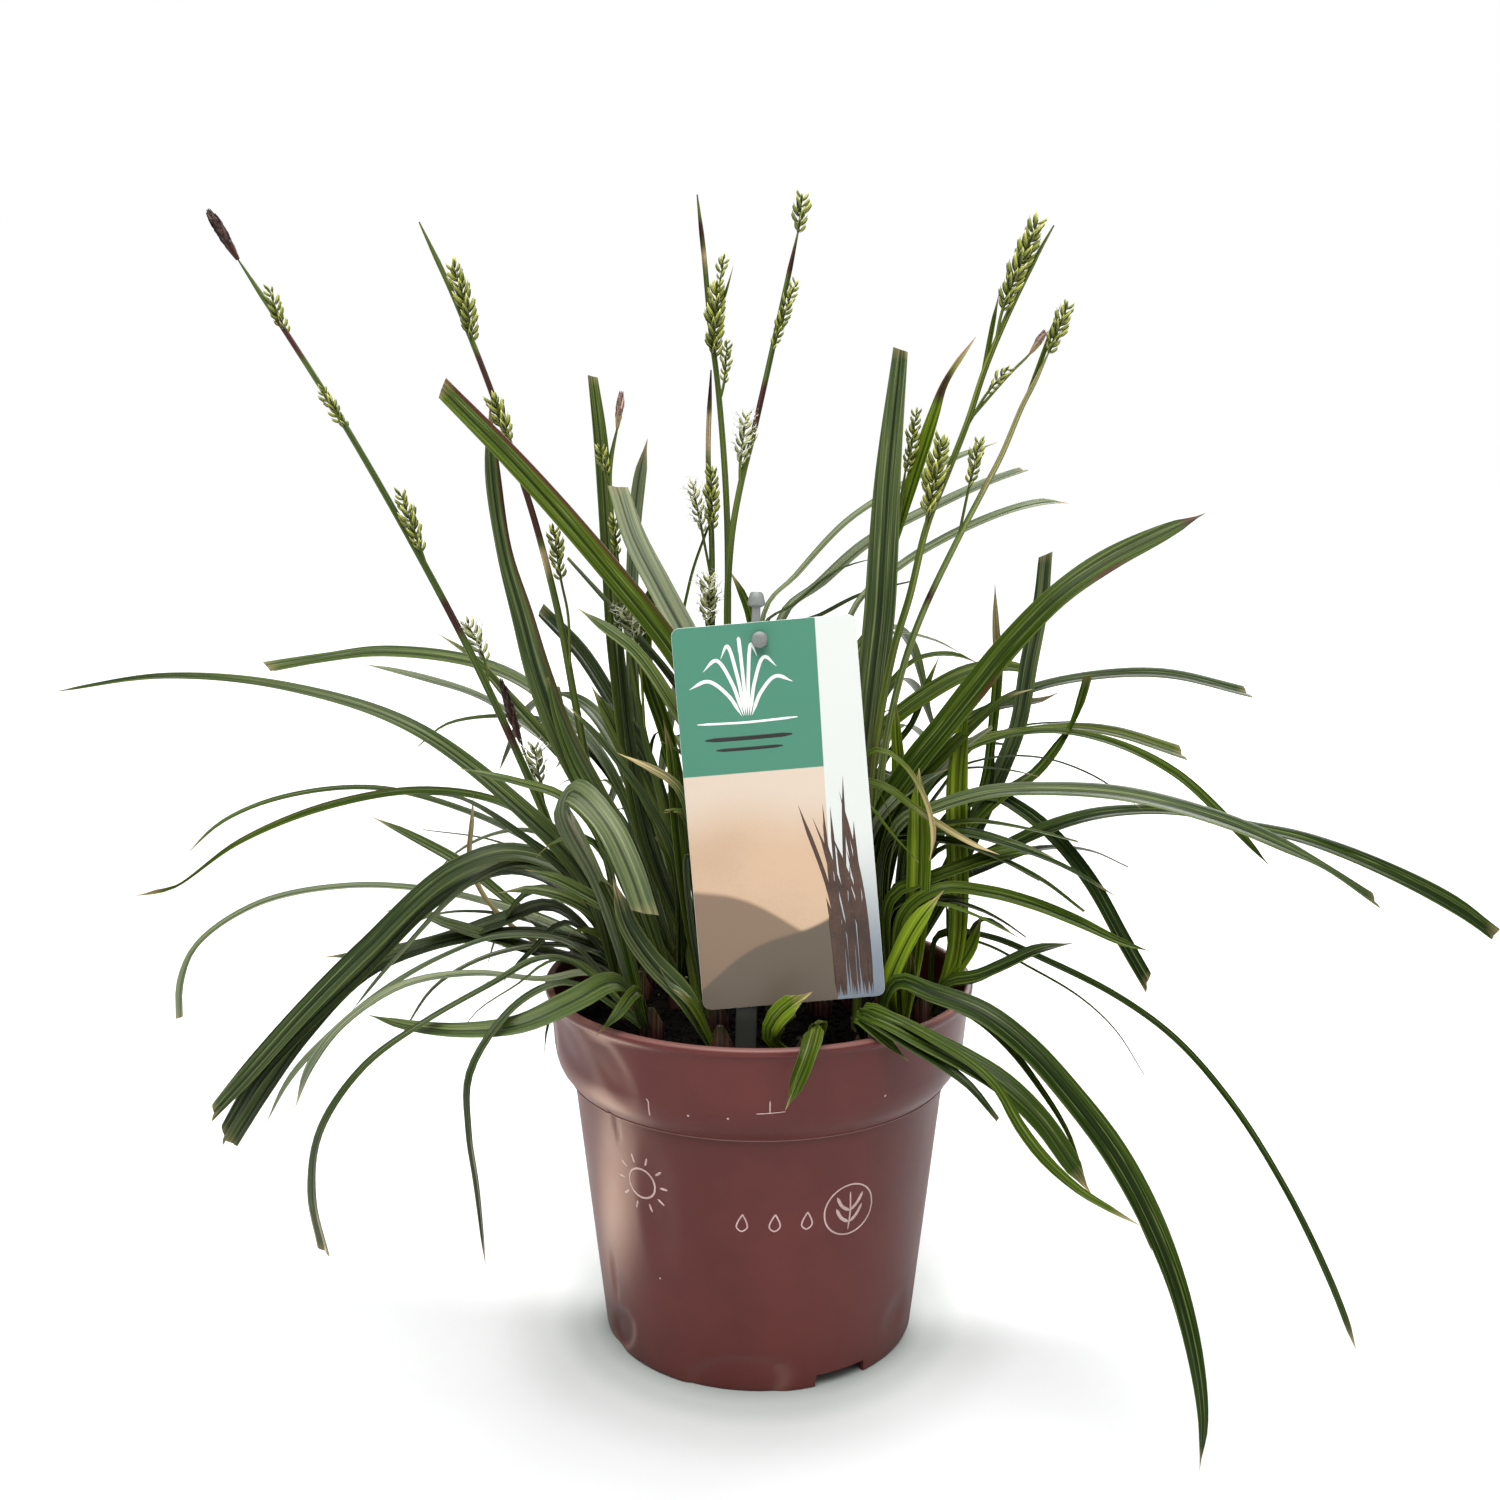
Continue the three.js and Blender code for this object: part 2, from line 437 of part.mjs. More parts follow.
// A blade is a shallow channel: left edge, mid bottom, right edge, mid top.
// sideways(at, along) is its direction across, longer where the blade is turned from the front.
function bladeSolid(points, widths, under, sideways) {
  return sweep(points, (at, along, t) => {
    const reach = sideways(at, along).multiplyScalar(between(widths, t) / 2);
    const up = along.clone().cross(reach).normalize();
    const lift = (under ? -0.2 : 0.2) * reach.length();
    const thick = Math.max(0.65, BLADE_T * Math.min(1, 0.6 + reach.length() / 6));
    return [
      at.clone().sub(reach).addScaledVector(up, lift),
      at.clone().addScaledVector(up, -thick / 2),
      at.clone().add(reach).addScaledVector(up, lift),
      at.clone().addScaledVector(up, thick / 2),
    ];
  });
}

// A blade of the elevation: it shows the widths it is given, whichever way it is turned.
function seenBlade(start, startWidth, face, rows) {
  const points = [start, ...rows.map((r) => place(r[0], r[1], r[2]))];
  const widths = [startWidth, ...rows.map((r) => r[3] * (1 + r[2] / -EYE.y))];
  const side = Math.sign(points.at(-1).x - points[0].x) * Math.sign(face);
  const turn = (side * Math.sqrt(1 - face * face)) / Math.abs(face);
  return bladeSolid(points, widths, face < 0, (at, along) => {
    const sight = at.clone().sub(EYE).normalize();
    const across = along.clone().cross(sight).normalize();
    return across.clone().addScaledVector(across.clone().cross(along), turn);
  });
}

// The sheathed base of a shoot, standing in its hole in the soil.
function stub(x, y) {
  return join([
    cylinder(x, y, SOIL_Z - HOLE_DEPTH + 1, SOIL_Z + 3, STUB_R, 6),
    cylinder(x, y, SOIL_Z + 3, SOIL_Z + STUB_TOP, STUB_R, 6, STUB_R * 0.55),
  ]);
}

const roots = []; // [x, y, radius] of each hole in the soil

for (const [name, [x, y, blades]] of Object.entries(SHOOTS)) {
  const parts = [stub(x, y)];
  blades.forEach(([, face, rows], i) => {
    const first = place(rows[0][0], rows[0][1], rows[0][2]);
    const lean = new THREE.Vector3(first.x - x, first.y - y, 0).clampLength(0, 2);
    const foot = new THREE.Vector3(x, y, SOIL_Z + 1 + 0.5 * i).add(lean);
    parts.push(seenBlade(foot, Math.min(2.4, rows[0][3]), face, rows));
  });
  emit("shoot_" + name, join(parts), 0x3f5c22);
  roots.push([x, y, STUB_R]);
}

// Shoots at the back carry a fan of arching blades, each in its own upright plane.
Object.entries(BACK_SHOOTS).forEach(([name, [x, y, heading, reaches, rises]], n) => {
  const rand = random(17 + n);
  const parts = [stub(x, y)];
  for (let i = 0; i < BACK_BLADES; i++) {
    const u = i / (BACK_BLADES - 1);
    const aside = (n % 2 === 0 ? 1 : -1) * (u - 0.5);
    const angle = THREE.MathUtils.degToRad(heading + BACK_FAN * aside);
    const out = new THREE.Vector3(Math.cos(angle), Math.sin(angle), 0);
    const flat = new THREE.Vector3(-out.y, out.x, 0);
    const reach = reaches[0] + (reaches[1] - reaches[0]) * u;
    const rise = rises[0] + (rises[1] - rises[0]) * u;
    const wide = 5.5 + 2.5 * rand();
    const droop = 0.45 + 0.3 * rand();
    const root = new THREE.Vector3(x, y, SOIL_Z + 1).add(out).addScaledVector(flat, 5 * aside);
    const at = (s, z) => root.clone().addScaledVector(out, reach * s).setZ(SOIL_Z + rise * z);
    const points = [root, at(0.12, 0.5), at(0.34, 0.9), at(0.56, 1), at(0.78, 0.9), at(1, droop)];
    const widths = [2, 0.8 * wide, wide, 0.95 * wide, 0.7 * wide, 0.8];
    parts.push(bladeSolid(points, widths, false, () => flat.clone()));
  }
  emit("shoot_" + name, join(parts), 0x3f5c22);
  roots.push([x, y, STUB_R]);
});

// ---- flowering stems ----
// A ring of points round a stem: spot(j) gives each one's distance from the axis and its lead along it.
function ringRound(at, along, sides, spot) {
  const across = along.clone().cross(at.clone().sub(EYE)).normalize();
  const deep = across.clone().cross(along);
  return Array.from({ length: sides }, (_, j) => {
    const a = (-2 * Math.PI * j) / sides;
    const [r, lead] = spot(j);
    const p = at.clone().addScaledVector(along, lead);
    return p.addScaledVector(across, r * Math.cos(a)).addScaledVector(deep, r * Math.sin(a));
  });
}

function tube(points, r0, r1, sides) {
  return sweep(points, (at, along, t) => ringRound(at, along, sides, () => [r0 + (r1 - r0) * t, 0]));
}

// A spike: a thin stalk up to point number `begin`, then tiers of three scales each that stand out
// of a slim core and point forward, every tier turned by half a step.
function spike(kind, points, begin, width) {
  const last = points.length - 1;
  const axisAt = (s) => {
    const j = Math.min(last - 1, Math.floor(s));
    return points[j].clone().lerp(points[j + 1], s - j);
  };
  const length = points.slice(begin + 1).reduce((sum, p, i) => sum + p.distanceTo(points[begin + i]), 0);
  const tiers = Math.max(3, Math.round(length / (kind === "m" ? 6.5 : 5)));
  const pitch = length / tiers;
  const rings = [];
  for (let i = 0; i < begin; i++) {
    const along = points[i + 1].clone().sub(points[i]).normalize();
    rings.push(ringRound(points[i], along, 6, () => [0.5, 0]));
  }
  for (let k = 0; k < tiers; k++) {
    const at = axisAt(begin + ((last - begin) * k) / tiers);
    const along = axisAt(begin + ((last - begin) * (k + 0.5)) / tiers).sub(at).normalize();
    const full = 0.5 * width * Math.min(1, 0.75 + (0.5 * k) / tiers, 1.45 - k / tiers);
    rings.push(ringRound(at, along, 6, () => [0.5 * full, 0]));
    const out = (j) => ((j + k) % 2 === 0 ? [full, 1.05 * pitch] : [0.5 * full, 0.4 * pitch]);
    rings.push(ringRound(at, along, 6, out));
  }
  const end = points[last].clone().sub(axisAt(last - 0.2)).normalize();
  rings.push(ringRound(points[last], end, 6, () => [0.2, 0.2 * pitch]));
  return skin(rings);
}

for (const [name, [x, y, stem, spikes, bracts]] of Object.entries(CULMS)) {
  const foot = new THREE.Vector3(x, y, SOIL_Z + 1);
  const line = [foot, ...stem.map((r) => place(...r))];
  const onStem = (p) => {
    const runs = line.slice(1).map((end, i) => new THREE.Line3(line[i], end));
    const nearest = runs.map((run) => run.closestPointToPoint(p, true, new THREE.Vector3()));
    return nearest.reduce((best, q) => (q.distanceTo(p) < best.distanceTo(p) ? q : best));
  };
  const parts = [cylinder(x, y, SOIL_Z - HOLE_DEPTH + 1, SOIL_Z + 3, STEM_FOOT_R, 6)];
  parts.push(tube(line, 1.35, 0.6, 3));
  for (const [kind, rows, begin, width] of spikes) {
    const points = rows.map((r) => place(...r));
    points[0] = onStem(points[0]);
    parts.push(spike(kind, points, begin, width));
  }
  for (const [, face, rows] of bracts) {
    const start = onStem(place(rows[0][0], rows[0][1], rows[0][2]));
    parts.push(seenBlade(start, rows[0][3], face, rows.slice(1)));
  }
  emit(name, join(parts), 0x6b7a33);
  roots.push([x, y, STEM_FOOT_R]);
}

// ---- pot ----
let pot = revolve(POT_PROFILE, 28);
for (let i = 0; i < NOTCHES; i++) {
  const notch = new THREE.BoxGeometry(14, NOTCH_W, 2 * NOTCH_H);
  notch.translate(POT_BASE_R - 2, 0, 0);
  const turn = THREE.MathUtils.degToRad(NOTCH_FIRST + (360 * i) / NOTCHES);
  pot = pot.subtract(solid(notch, new THREE.Matrix4().makeRotationZ(turn)));
}
for (let i = 0; i < DRAIN_HOLES; i++) {
  const a = (2 * Math.PI * (i + 0.5)) / DRAIN_HOLES;
  pot = pot.subtract(cylinder(34 * Math.cos(a), 34 * Math.sin(a), 0, 12, 3.5, 8));
}
emit("pot", pot, 0x7a4438);

// ---- soil ----
let soil = revolve(SOIL_PROFILE, 18);
for (const [x, y, r] of roots) {
  const clear = r + GAP / Math.cos(Math.PI / 6);
  soil = soil.subtract(cylinder(x, y, SOIL_Z - HOLE_DEPTH, SOIL_Z + 5, clear, 6));
}

// ---- label ----
// The stake leans back; the card hangs in front of it, turned a little in its own plane.
const stakeUp = new THREE.Vector3(0.024, 0.121, 0.992).normalize();
const stakeOut = new THREE.Vector3(1, 0, 0).cross(stakeUp).normalize();
const stakeRight = stakeUp.clone().cross(stakeOut);
const stakeFrame = new THREE.Matrix4().makeBasis(stakeRight, stakeUp, stakeOut);
stakeFrame.setPosition(...STAKE_FOOT);

const slab = (w, v0, v1, t0, t1) =>
  new THREE.BoxGeometry(w, v1 - v0, t1 - t0).translate(0, (v0 + v1) / 2, (t0 + t1) / 2);
const round = (r, [u, v], t0, t1) =>
  new THREE.CylinderGeometry(r, r, t1 - t0, 8).rotateX(Math.PI / 2).translate(u, v, (t0 + t1) / 2);
const inFrame = (geometry) => solid(geometry, stakeFrame);

const knob = new THREE.CylinderGeometry(1.9, 2.7, 4, 8).scale(1, 1, 0.7).translate(0, STAKE_LENGTH + 2, 0);
const stake = join([
  inFrame(slab(STAKE_W, -STAKE_DEPTH, STAKE_LENGTH - 6, -STAKE_T / 2, STAKE_T / 2)),
  inFrame(slab(2.6, STAKE_LENGTH - 7, STAKE_LENGTH + 1, -STAKE_T / 2, STAKE_T / 2)),
  inFrame(slab(1, -STAKE_DEPTH + 8, STAKE_LENGTH - 18, -STAKE_T / 2 - 0.5, 0)),
  inFrame(knob),
]).subtract(inFrame(round(RIVET_R + GAP, RIVET_AT, -4, 4)));
emit("label_stake", stake, 0x8a8b86);

const slot = inFrame(slab(STAKE_W + 2 * GAP, -STAKE_DEPTH - 1, 8, -STAKE_T / 2 - 0.8, STAKE_T / 2 + GAP));
emit("soil", soil.subtract(slot), 0x1c1613);

const cardFront = STAKE_T / 2 + GAP + CARD_T;
const outline = new THREE.Shape();
const corner = 2.5;
const [cw, ch] = [CARD_W / 2, CARD_H / 2];
outline.moveTo(-cw + corner, -ch);
outline.lineTo(cw - corner, -ch).absarc(cw - corner, -ch + corner, corner, -Math.PI / 2, 0);
outline.lineTo(cw, ch - corner).absarc(cw - corner, ch - corner, corner, 0, Math.PI / 2);
outline.lineTo(-cw + corner, ch).absarc(-cw + corner, ch - corner, corner, Math.PI / 2, Math.PI);
outline.lineTo(-cw, -ch + corner).absarc(-cw + corner, -ch + corner, corner, Math.PI, 1.5 * Math.PI);
const sheet = new THREE.ExtrudeGeometry(outline, { depth: CARD_T, bevelEnabled: false, curveSegments: 2 });
sheet.rotateZ(CARD_TILT).translate(CARD_AT[0], CARD_AT[1], cardFront - CARD_T);
const card = inFrame(sheet).subtract(inFrame(round(RIVET_R + GAP, RIVET_AT, -4, 4)));
emit("label_card", card, 0x5a9b80);

const rivet = join([
  inFrame(round(RIVET_R, RIVET_AT, -STAKE_T / 2 - GAP - 1, cardFront + GAP + 2)),
  inFrame(round(2.5, RIVET_AT, cardFront + GAP, cardFront + GAP + 3)),
  inFrame(round(2.2, RIVET_AT, -STAKE_T / 2 - GAP - 1, -STAKE_T / 2 - GAP)),
]);
emit("label_rivet", rivet, 0x9a9b95);

export default group;
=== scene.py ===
# %% [markdown]
# # An evergreen sedge in a nursery pot
# The real thing is a tuft of long leathery leaves and thin flowering stems, rooted in dark compost in
# a moulded plastic pot, with a picture label on a stake. The CAD frame holds every piece at its real
# size and place. This script keeps those places and gives each piece its fine form and its finish.
# All tables are in millimetres, as a gardener would measure, and MM turns them into metres.

# %% Load the fixed frame
import math
import random

import bpy
import numpy as np
from mathutils import Matrix, Vector


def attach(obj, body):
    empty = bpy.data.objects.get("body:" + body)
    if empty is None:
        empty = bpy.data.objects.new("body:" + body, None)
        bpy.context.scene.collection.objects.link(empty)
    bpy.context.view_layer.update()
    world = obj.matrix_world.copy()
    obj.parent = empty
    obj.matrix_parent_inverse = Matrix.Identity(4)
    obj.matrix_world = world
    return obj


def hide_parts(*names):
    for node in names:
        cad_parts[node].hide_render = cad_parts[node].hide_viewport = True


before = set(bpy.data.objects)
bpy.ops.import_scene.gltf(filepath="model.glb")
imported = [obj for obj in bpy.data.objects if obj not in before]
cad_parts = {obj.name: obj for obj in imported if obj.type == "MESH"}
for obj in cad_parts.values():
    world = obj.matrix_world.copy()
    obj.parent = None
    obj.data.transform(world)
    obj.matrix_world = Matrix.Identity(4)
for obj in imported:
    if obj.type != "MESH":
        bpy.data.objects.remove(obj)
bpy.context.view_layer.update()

MM = 0.001
print("frame:", len(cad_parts), "nodes")

# %% [markdown]
# ## Camera
# The eye stands half a metre in front of the pot and a little above the label, and looks slightly
# down. A fixed focal length on a fixed sensor width gives the same view at any picture size.

# %% Camera
EYE = Vector((-2.9, -510.0, 290.0))
LOOK_DOWN = 10.45  # degrees
camera_data = bpy.data.cameras.new("camera")
camera_data.sensor_fit = "HORIZONTAL"
camera_data.sensor_width = 36.0
camera_data.lens = 38.4
camera_data.clip_start = 0.02
camera = bpy.data.objects.new("camera", camera_data)
camera.location = EYE * MM
camera.rotation_euler = (math.radians(90 - LOOK_DOWN), 0, 0)
bpy.context.scene.collection.objects.link(camera)
bpy.context.scene.camera = camera
print("camera at", [round(v, 3) for v in camera.location])

# %% [markdown]
# ## Writing node trees
# Both kinds of node tree, for shapes and for finishes, are written with one small helper, so that
# each line of the script is one node: its type, what goes into its sockets, and its settings.

# %% One node a line
class Tree:
    """Adds nodes to a node tree. A socket is named by its name or number."""

    def __init__(self, tree):
        self.tree = tree

    def wire(self, node, sockets):
        """Links or sets the sockets of a node."""
        for key, value in sockets.items():
            if isinstance(value, bpy.types.NodeSocket):
                self.tree.links.new(value, node.inputs[key])
            else:
                node.inputs[key].default_value = value

    def add(self, kind, sockets=None, **settings):
        node = self.tree.nodes.new(kind)
        for name, value in settings.items():
            setattr(node, name, value)
        self.wire(node, sockets or {})
        return node

    def math(self, operation, *values, clamp=False):
        node = self.add("ShaderNodeMath", dict(enumerate(values)), operation=operation)
        node.use_clamp = clamp
        return node.outputs[0]

    def times(self, *values, clamp=False):
        return self.math("MULTIPLY", *values, clamp=clamp)

    def vector(self, operation, *values):
        node = self.add("ShaderNodeVectorMath", dict(enumerate(values)), operation=operation)
        return node.outputs[0]

    def scaled(self, vector, factor):
        node = self.add("ShaderNodeVectorMath", {0: vector, "Scale": factor}, operation="SCALE")
        return node.outputs[0]

    def length(self, vector):
        return self.add("ShaderNodeVectorMath", {0: vector}, operation="LENGTH").outputs["Value"]

    def random(self, low, high, seed):
        sockets = {2: low, 3: high, "Seed": seed}
        return self.add("FunctionNodeRandomValue", sockets, data_type="FLOAT").outputs[1]

    def carried(self, name, data_type="FLOAT"):
        """An attribute that the geometry carries."""
        node = self.add("GeometryNodeInputNamedAttribute", {"Name": name}, data_type=data_type)
        return node.outputs["Attribute"]

    def kept(self, geometry, name, value, domain="POINT"):
        """The geometry with a value kept on it under a name."""
        sockets = {"Geometry": geometry, "Name": name, "Value": value}
        node = self.add("GeometryNodeStoreNamedAttribute", sockets, data_type="FLOAT", domain=domain)
        return node.outputs[0]

    def strewn(self, points, unit, rotation, size, shade):
        """Copies of a small object on points, each with a shade of its own."""
        source = self.add("GeometryNodeObjectInfo", {"Object": unit, "As Instance": True})
        sockets = {"Points": points, "Instance": source.outputs["Geometry"]}
        copies = self.add("GeometryNodeInstanceOnPoints", {**sockets, "Rotation": rotation, "Scale": size})
        return self.kept(copies.outputs[0], "shade", shade, "INSTANCE")

    def finish(self, geometry, material):
        """The end of a tree for shapes: real meshes with their material."""
        real = self.add("GeometryNodeRealizeInstances", {0: geometry})
        done = self.add("GeometryNodeSetMaterial", {"Geometry": real.outputs[0], "Material": material})
        self.add("NodeGroupOutput", {0: done.outputs[0]})


def new_group(name, kind, inputs, outputs):
    """A node tree with named sockets, set out as rows of name, type and, for some, ordinary value."""
    group = bpy.data.node_groups.new(name, kind)
    for in_out, rows in (("INPUT", inputs), ("OUTPUT", outputs)):
        for label, socket_type, *value in rows:
            socket = group.interface.new_socket(label, in_out=in_out, socket_type="NodeSocket" + socket_type)
            if value:
                socket.default_value = value[0]
    tree = Tree(group)
    return group, tree, tree.add("NodeGroupInput").outputs


def link_object(obj):
    bpy.context.scene.collection.objects.link(obj)
    return obj


def triangles(obj):
    return sum(len(face.vertices) - 2 for face in obj.data.polygons)


def circle(radius, count, centre=(0.0, 0.0)):
    """Points (x, y) round a circle."""
    turns = (math.tau * k / count for k in range(count))
    return [(centre[0] + radius * math.cos(a), centre[1] + radius * math.sin(a)) for a in turns]


def add_skin(faces, first, rows, count):
    """Side faces between closed rings of points that follow each other."""
    for k in range(rows - 1):
        for j in range(count):
            a, b = first + k * count + j, first + k * count + (j + 1) % count
            faces.append((a, b, b + count, a + count))


def add_stack(points, faces, rings):
    """Rings of equal size joined from first to last, closed at both ends."""
    n, first = len(rings[0]), len(points)
    for ring in rings:
        points += ring
    add_skin(faces, first, len(rings), n)
    faces.append(tuple(first + j for j in reversed(range(n))))
    faces.append(tuple(len(points) - n + j for j in range(n)))


def carry(mesh, name, values):
    """Puts a value on each point of a mesh, for its finish to read."""
    mesh.attributes.new(name, "FLOAT", "POINT").data.foreach_set("value", values)


def applied(piece):
    """Gives a piece the plain mesh that its modifiers make, in place of the modifiers."""
    depsgraph = bpy.context.evaluated_depsgraph_get()
    evaluated = piece.evaluated_get(depsgraph)
    made = bpy.data.meshes.new_from_object(evaluated, preserve_all_data_layers=True, depsgraph=depsgraph)
    piece.modifiers.clear()
    piece.data = made
    return piece


def grown(name, mesh, group, values):
    """Runs a Geometry Nodes tree on a mesh and keeps the result as a plain mesh."""
    piece = link_object(bpy.data.objects.new(name, mesh))
    modifier = piece.modifiers.new("tree", "NODES")
    modifier.node_group = group
    for socket in group.interface.items_tree:
        if socket.in_out == "INPUT" and socket.name in values:
            modifier[socket.identifier] = values[socket.name]
    applied(piece).data.name = name
    return piece


print("helpers for trees, rings and pieces")

# %% [markdown]
# ## Finishes
# Every finish is a node material. What several of them share, such as a fine mottle, is a node group
# with named sockets. Leaves and stems carry attributes made with their shape: how far across and how
# far along it a point lies, and how fresh, how pale or how dry the blade is there.

# %% Shared node groups
def mottle_group():
    """Soft blotches over fine grain, as one value round 0.5."""
    inputs = [("Vector", "Vector"), ("Blotch Scale", "Float", 30.0), ("Grain Scale", "Float", 900.0)]
    group, tree, given = new_group("mottle", "ShaderNodeTree", inputs, [("Value", "Float")])
    blotch = tree.add("ShaderNodeTexNoise", {"Vector": given[0], "Scale": given[1], "Detail": 3.0})
    grain = tree.add("ShaderNodeTexNoise", {"Vector": given[0], "Scale": given[2], "Detail": 2.0})
    soft = tree.times(blotch.outputs[0], 0.7)
    value = tree.math("MULTIPLY_ADD", grain.outputs[0], 0.3, soft)
    tree.add("NodeGroupOutput", {0: value})
    return group


def veins_group():
    """Fine ribs that run along a blade: light and dark lines of a fraction of a millimetre."""
    inputs = [("Across", "Float"), ("Along", "Float"), ("Seed", "Float")]
    outputs = [("Lines", "Float"), ("Bands", "Float"), ("Flecks", "Float")]
    group, tree, given = new_group("veins", "ShaderNodeTree", inputs, outputs)
    across, along, seed = given[:3]
    start = tree.times(seed, 37.0)  # so that no two blades share their ribs

    def noise(spot, detail):
        at = tree.add("ShaderNodeCombineXYZ", dict(enumerate(spot))).outputs[0]
        sockets = {"Vector": at, "Scale": 1.0, "Detail": detail}
        return tree.add("ShaderNodeTexNoise", sockets).outputs[0]

    side = tree.math("MULTIPLY_ADD", across, 2.5, start)
    wide_side = tree.math("MULTIPLY_ADD", across, 0.75, start)
    lines = noise((side, tree.times(along, 0.012), start), 2.0)
    bands = noise((wide_side, tree.times(along, 0.02), start), 1.0)
    flecks = noise((tree.times(along, 0.07), start, side), 2.0)
    tree.add("NodeGroupOutput", {0: lines, 1: bands, 2: flecks})
    return group


MOTTLE = mottle_group()
VEINS = veins_group()


def new_material(name):
    """An empty material, its tree helper and its surface shader."""
    material = bpy.data.materials.new(name)
    material.use_nodes = True
    material.node_tree.nodes.clear()
    tree = Tree(material.node_tree)
    shader = tree.add("ShaderNodeBsdfPrincipled")
    tree.add("ShaderNodeOutputMaterial", {"Surface": shader.outputs[0]})
    return material, tree, shader


def mottled(tree, blotch, grain):
    """The place on the object and the mottle there, with scales in blotches and grains a metre."""
    spot = tree.add("ShaderNodeTexCoord").outputs["Object"]
    sockets = {"Vector": spot, "Blotch Scale": blotch, "Grain Scale": grain}
    return spot, tree.add("ShaderNodeGroup", sockets, node_tree=MOTTLE).outputs[0]


def attribute(tree, name):
    return tree.add("ShaderNodeAttribute", None, attribute_name=name).outputs["Fac"]


def mixed(tree, factor, a, b, blend="MIX"):
    """Two colours mixed by a factor."""
    sockets = {0: factor, 6: a, 7: b}
    return tree.add("ShaderNodeMix", sockets, data_type="RGBA", blend_type=blend).outputs[2]


def ramp(tree, factor, stops):
    """A smooth colour ramp. Each stop is a place and a colour."""
    node = tree.add("ShaderNodeValToRGB", {0: factor})
    elements = node.color_ramp.elements
    while len(elements) < len(stops):
        elements.new(0.5)
    for element, (place_at, colour) in zip(elements, stops):
        element.position = place_at
        element.color = colour
    node.color_ramp.interpolation = "EASE"
    return node.outputs[0]


def step_up(tree, value, low, high):
    """0 at low and 1 at high, smooth between. With low above high it falls instead."""
    node = tree.add("ShaderNodeMapRange", {0: value, 1: low, 2: high}, interpolation_type="SMOOTHSTEP")
    return node.outputs[0]


def bump(tree, height, distance, strength=1.0):
    sockets = {"Height": height, "Distance": distance, "Strength": strength}
    return tree.add("ShaderNodeBump", sockets).outputs[0]


def rgb(red, green, blue):
    return (red, green, blue, 1.0)


def grey(value):
    return rgb(value, value, value)


print("shared groups:", MOTTLE.name, VEINS.name)
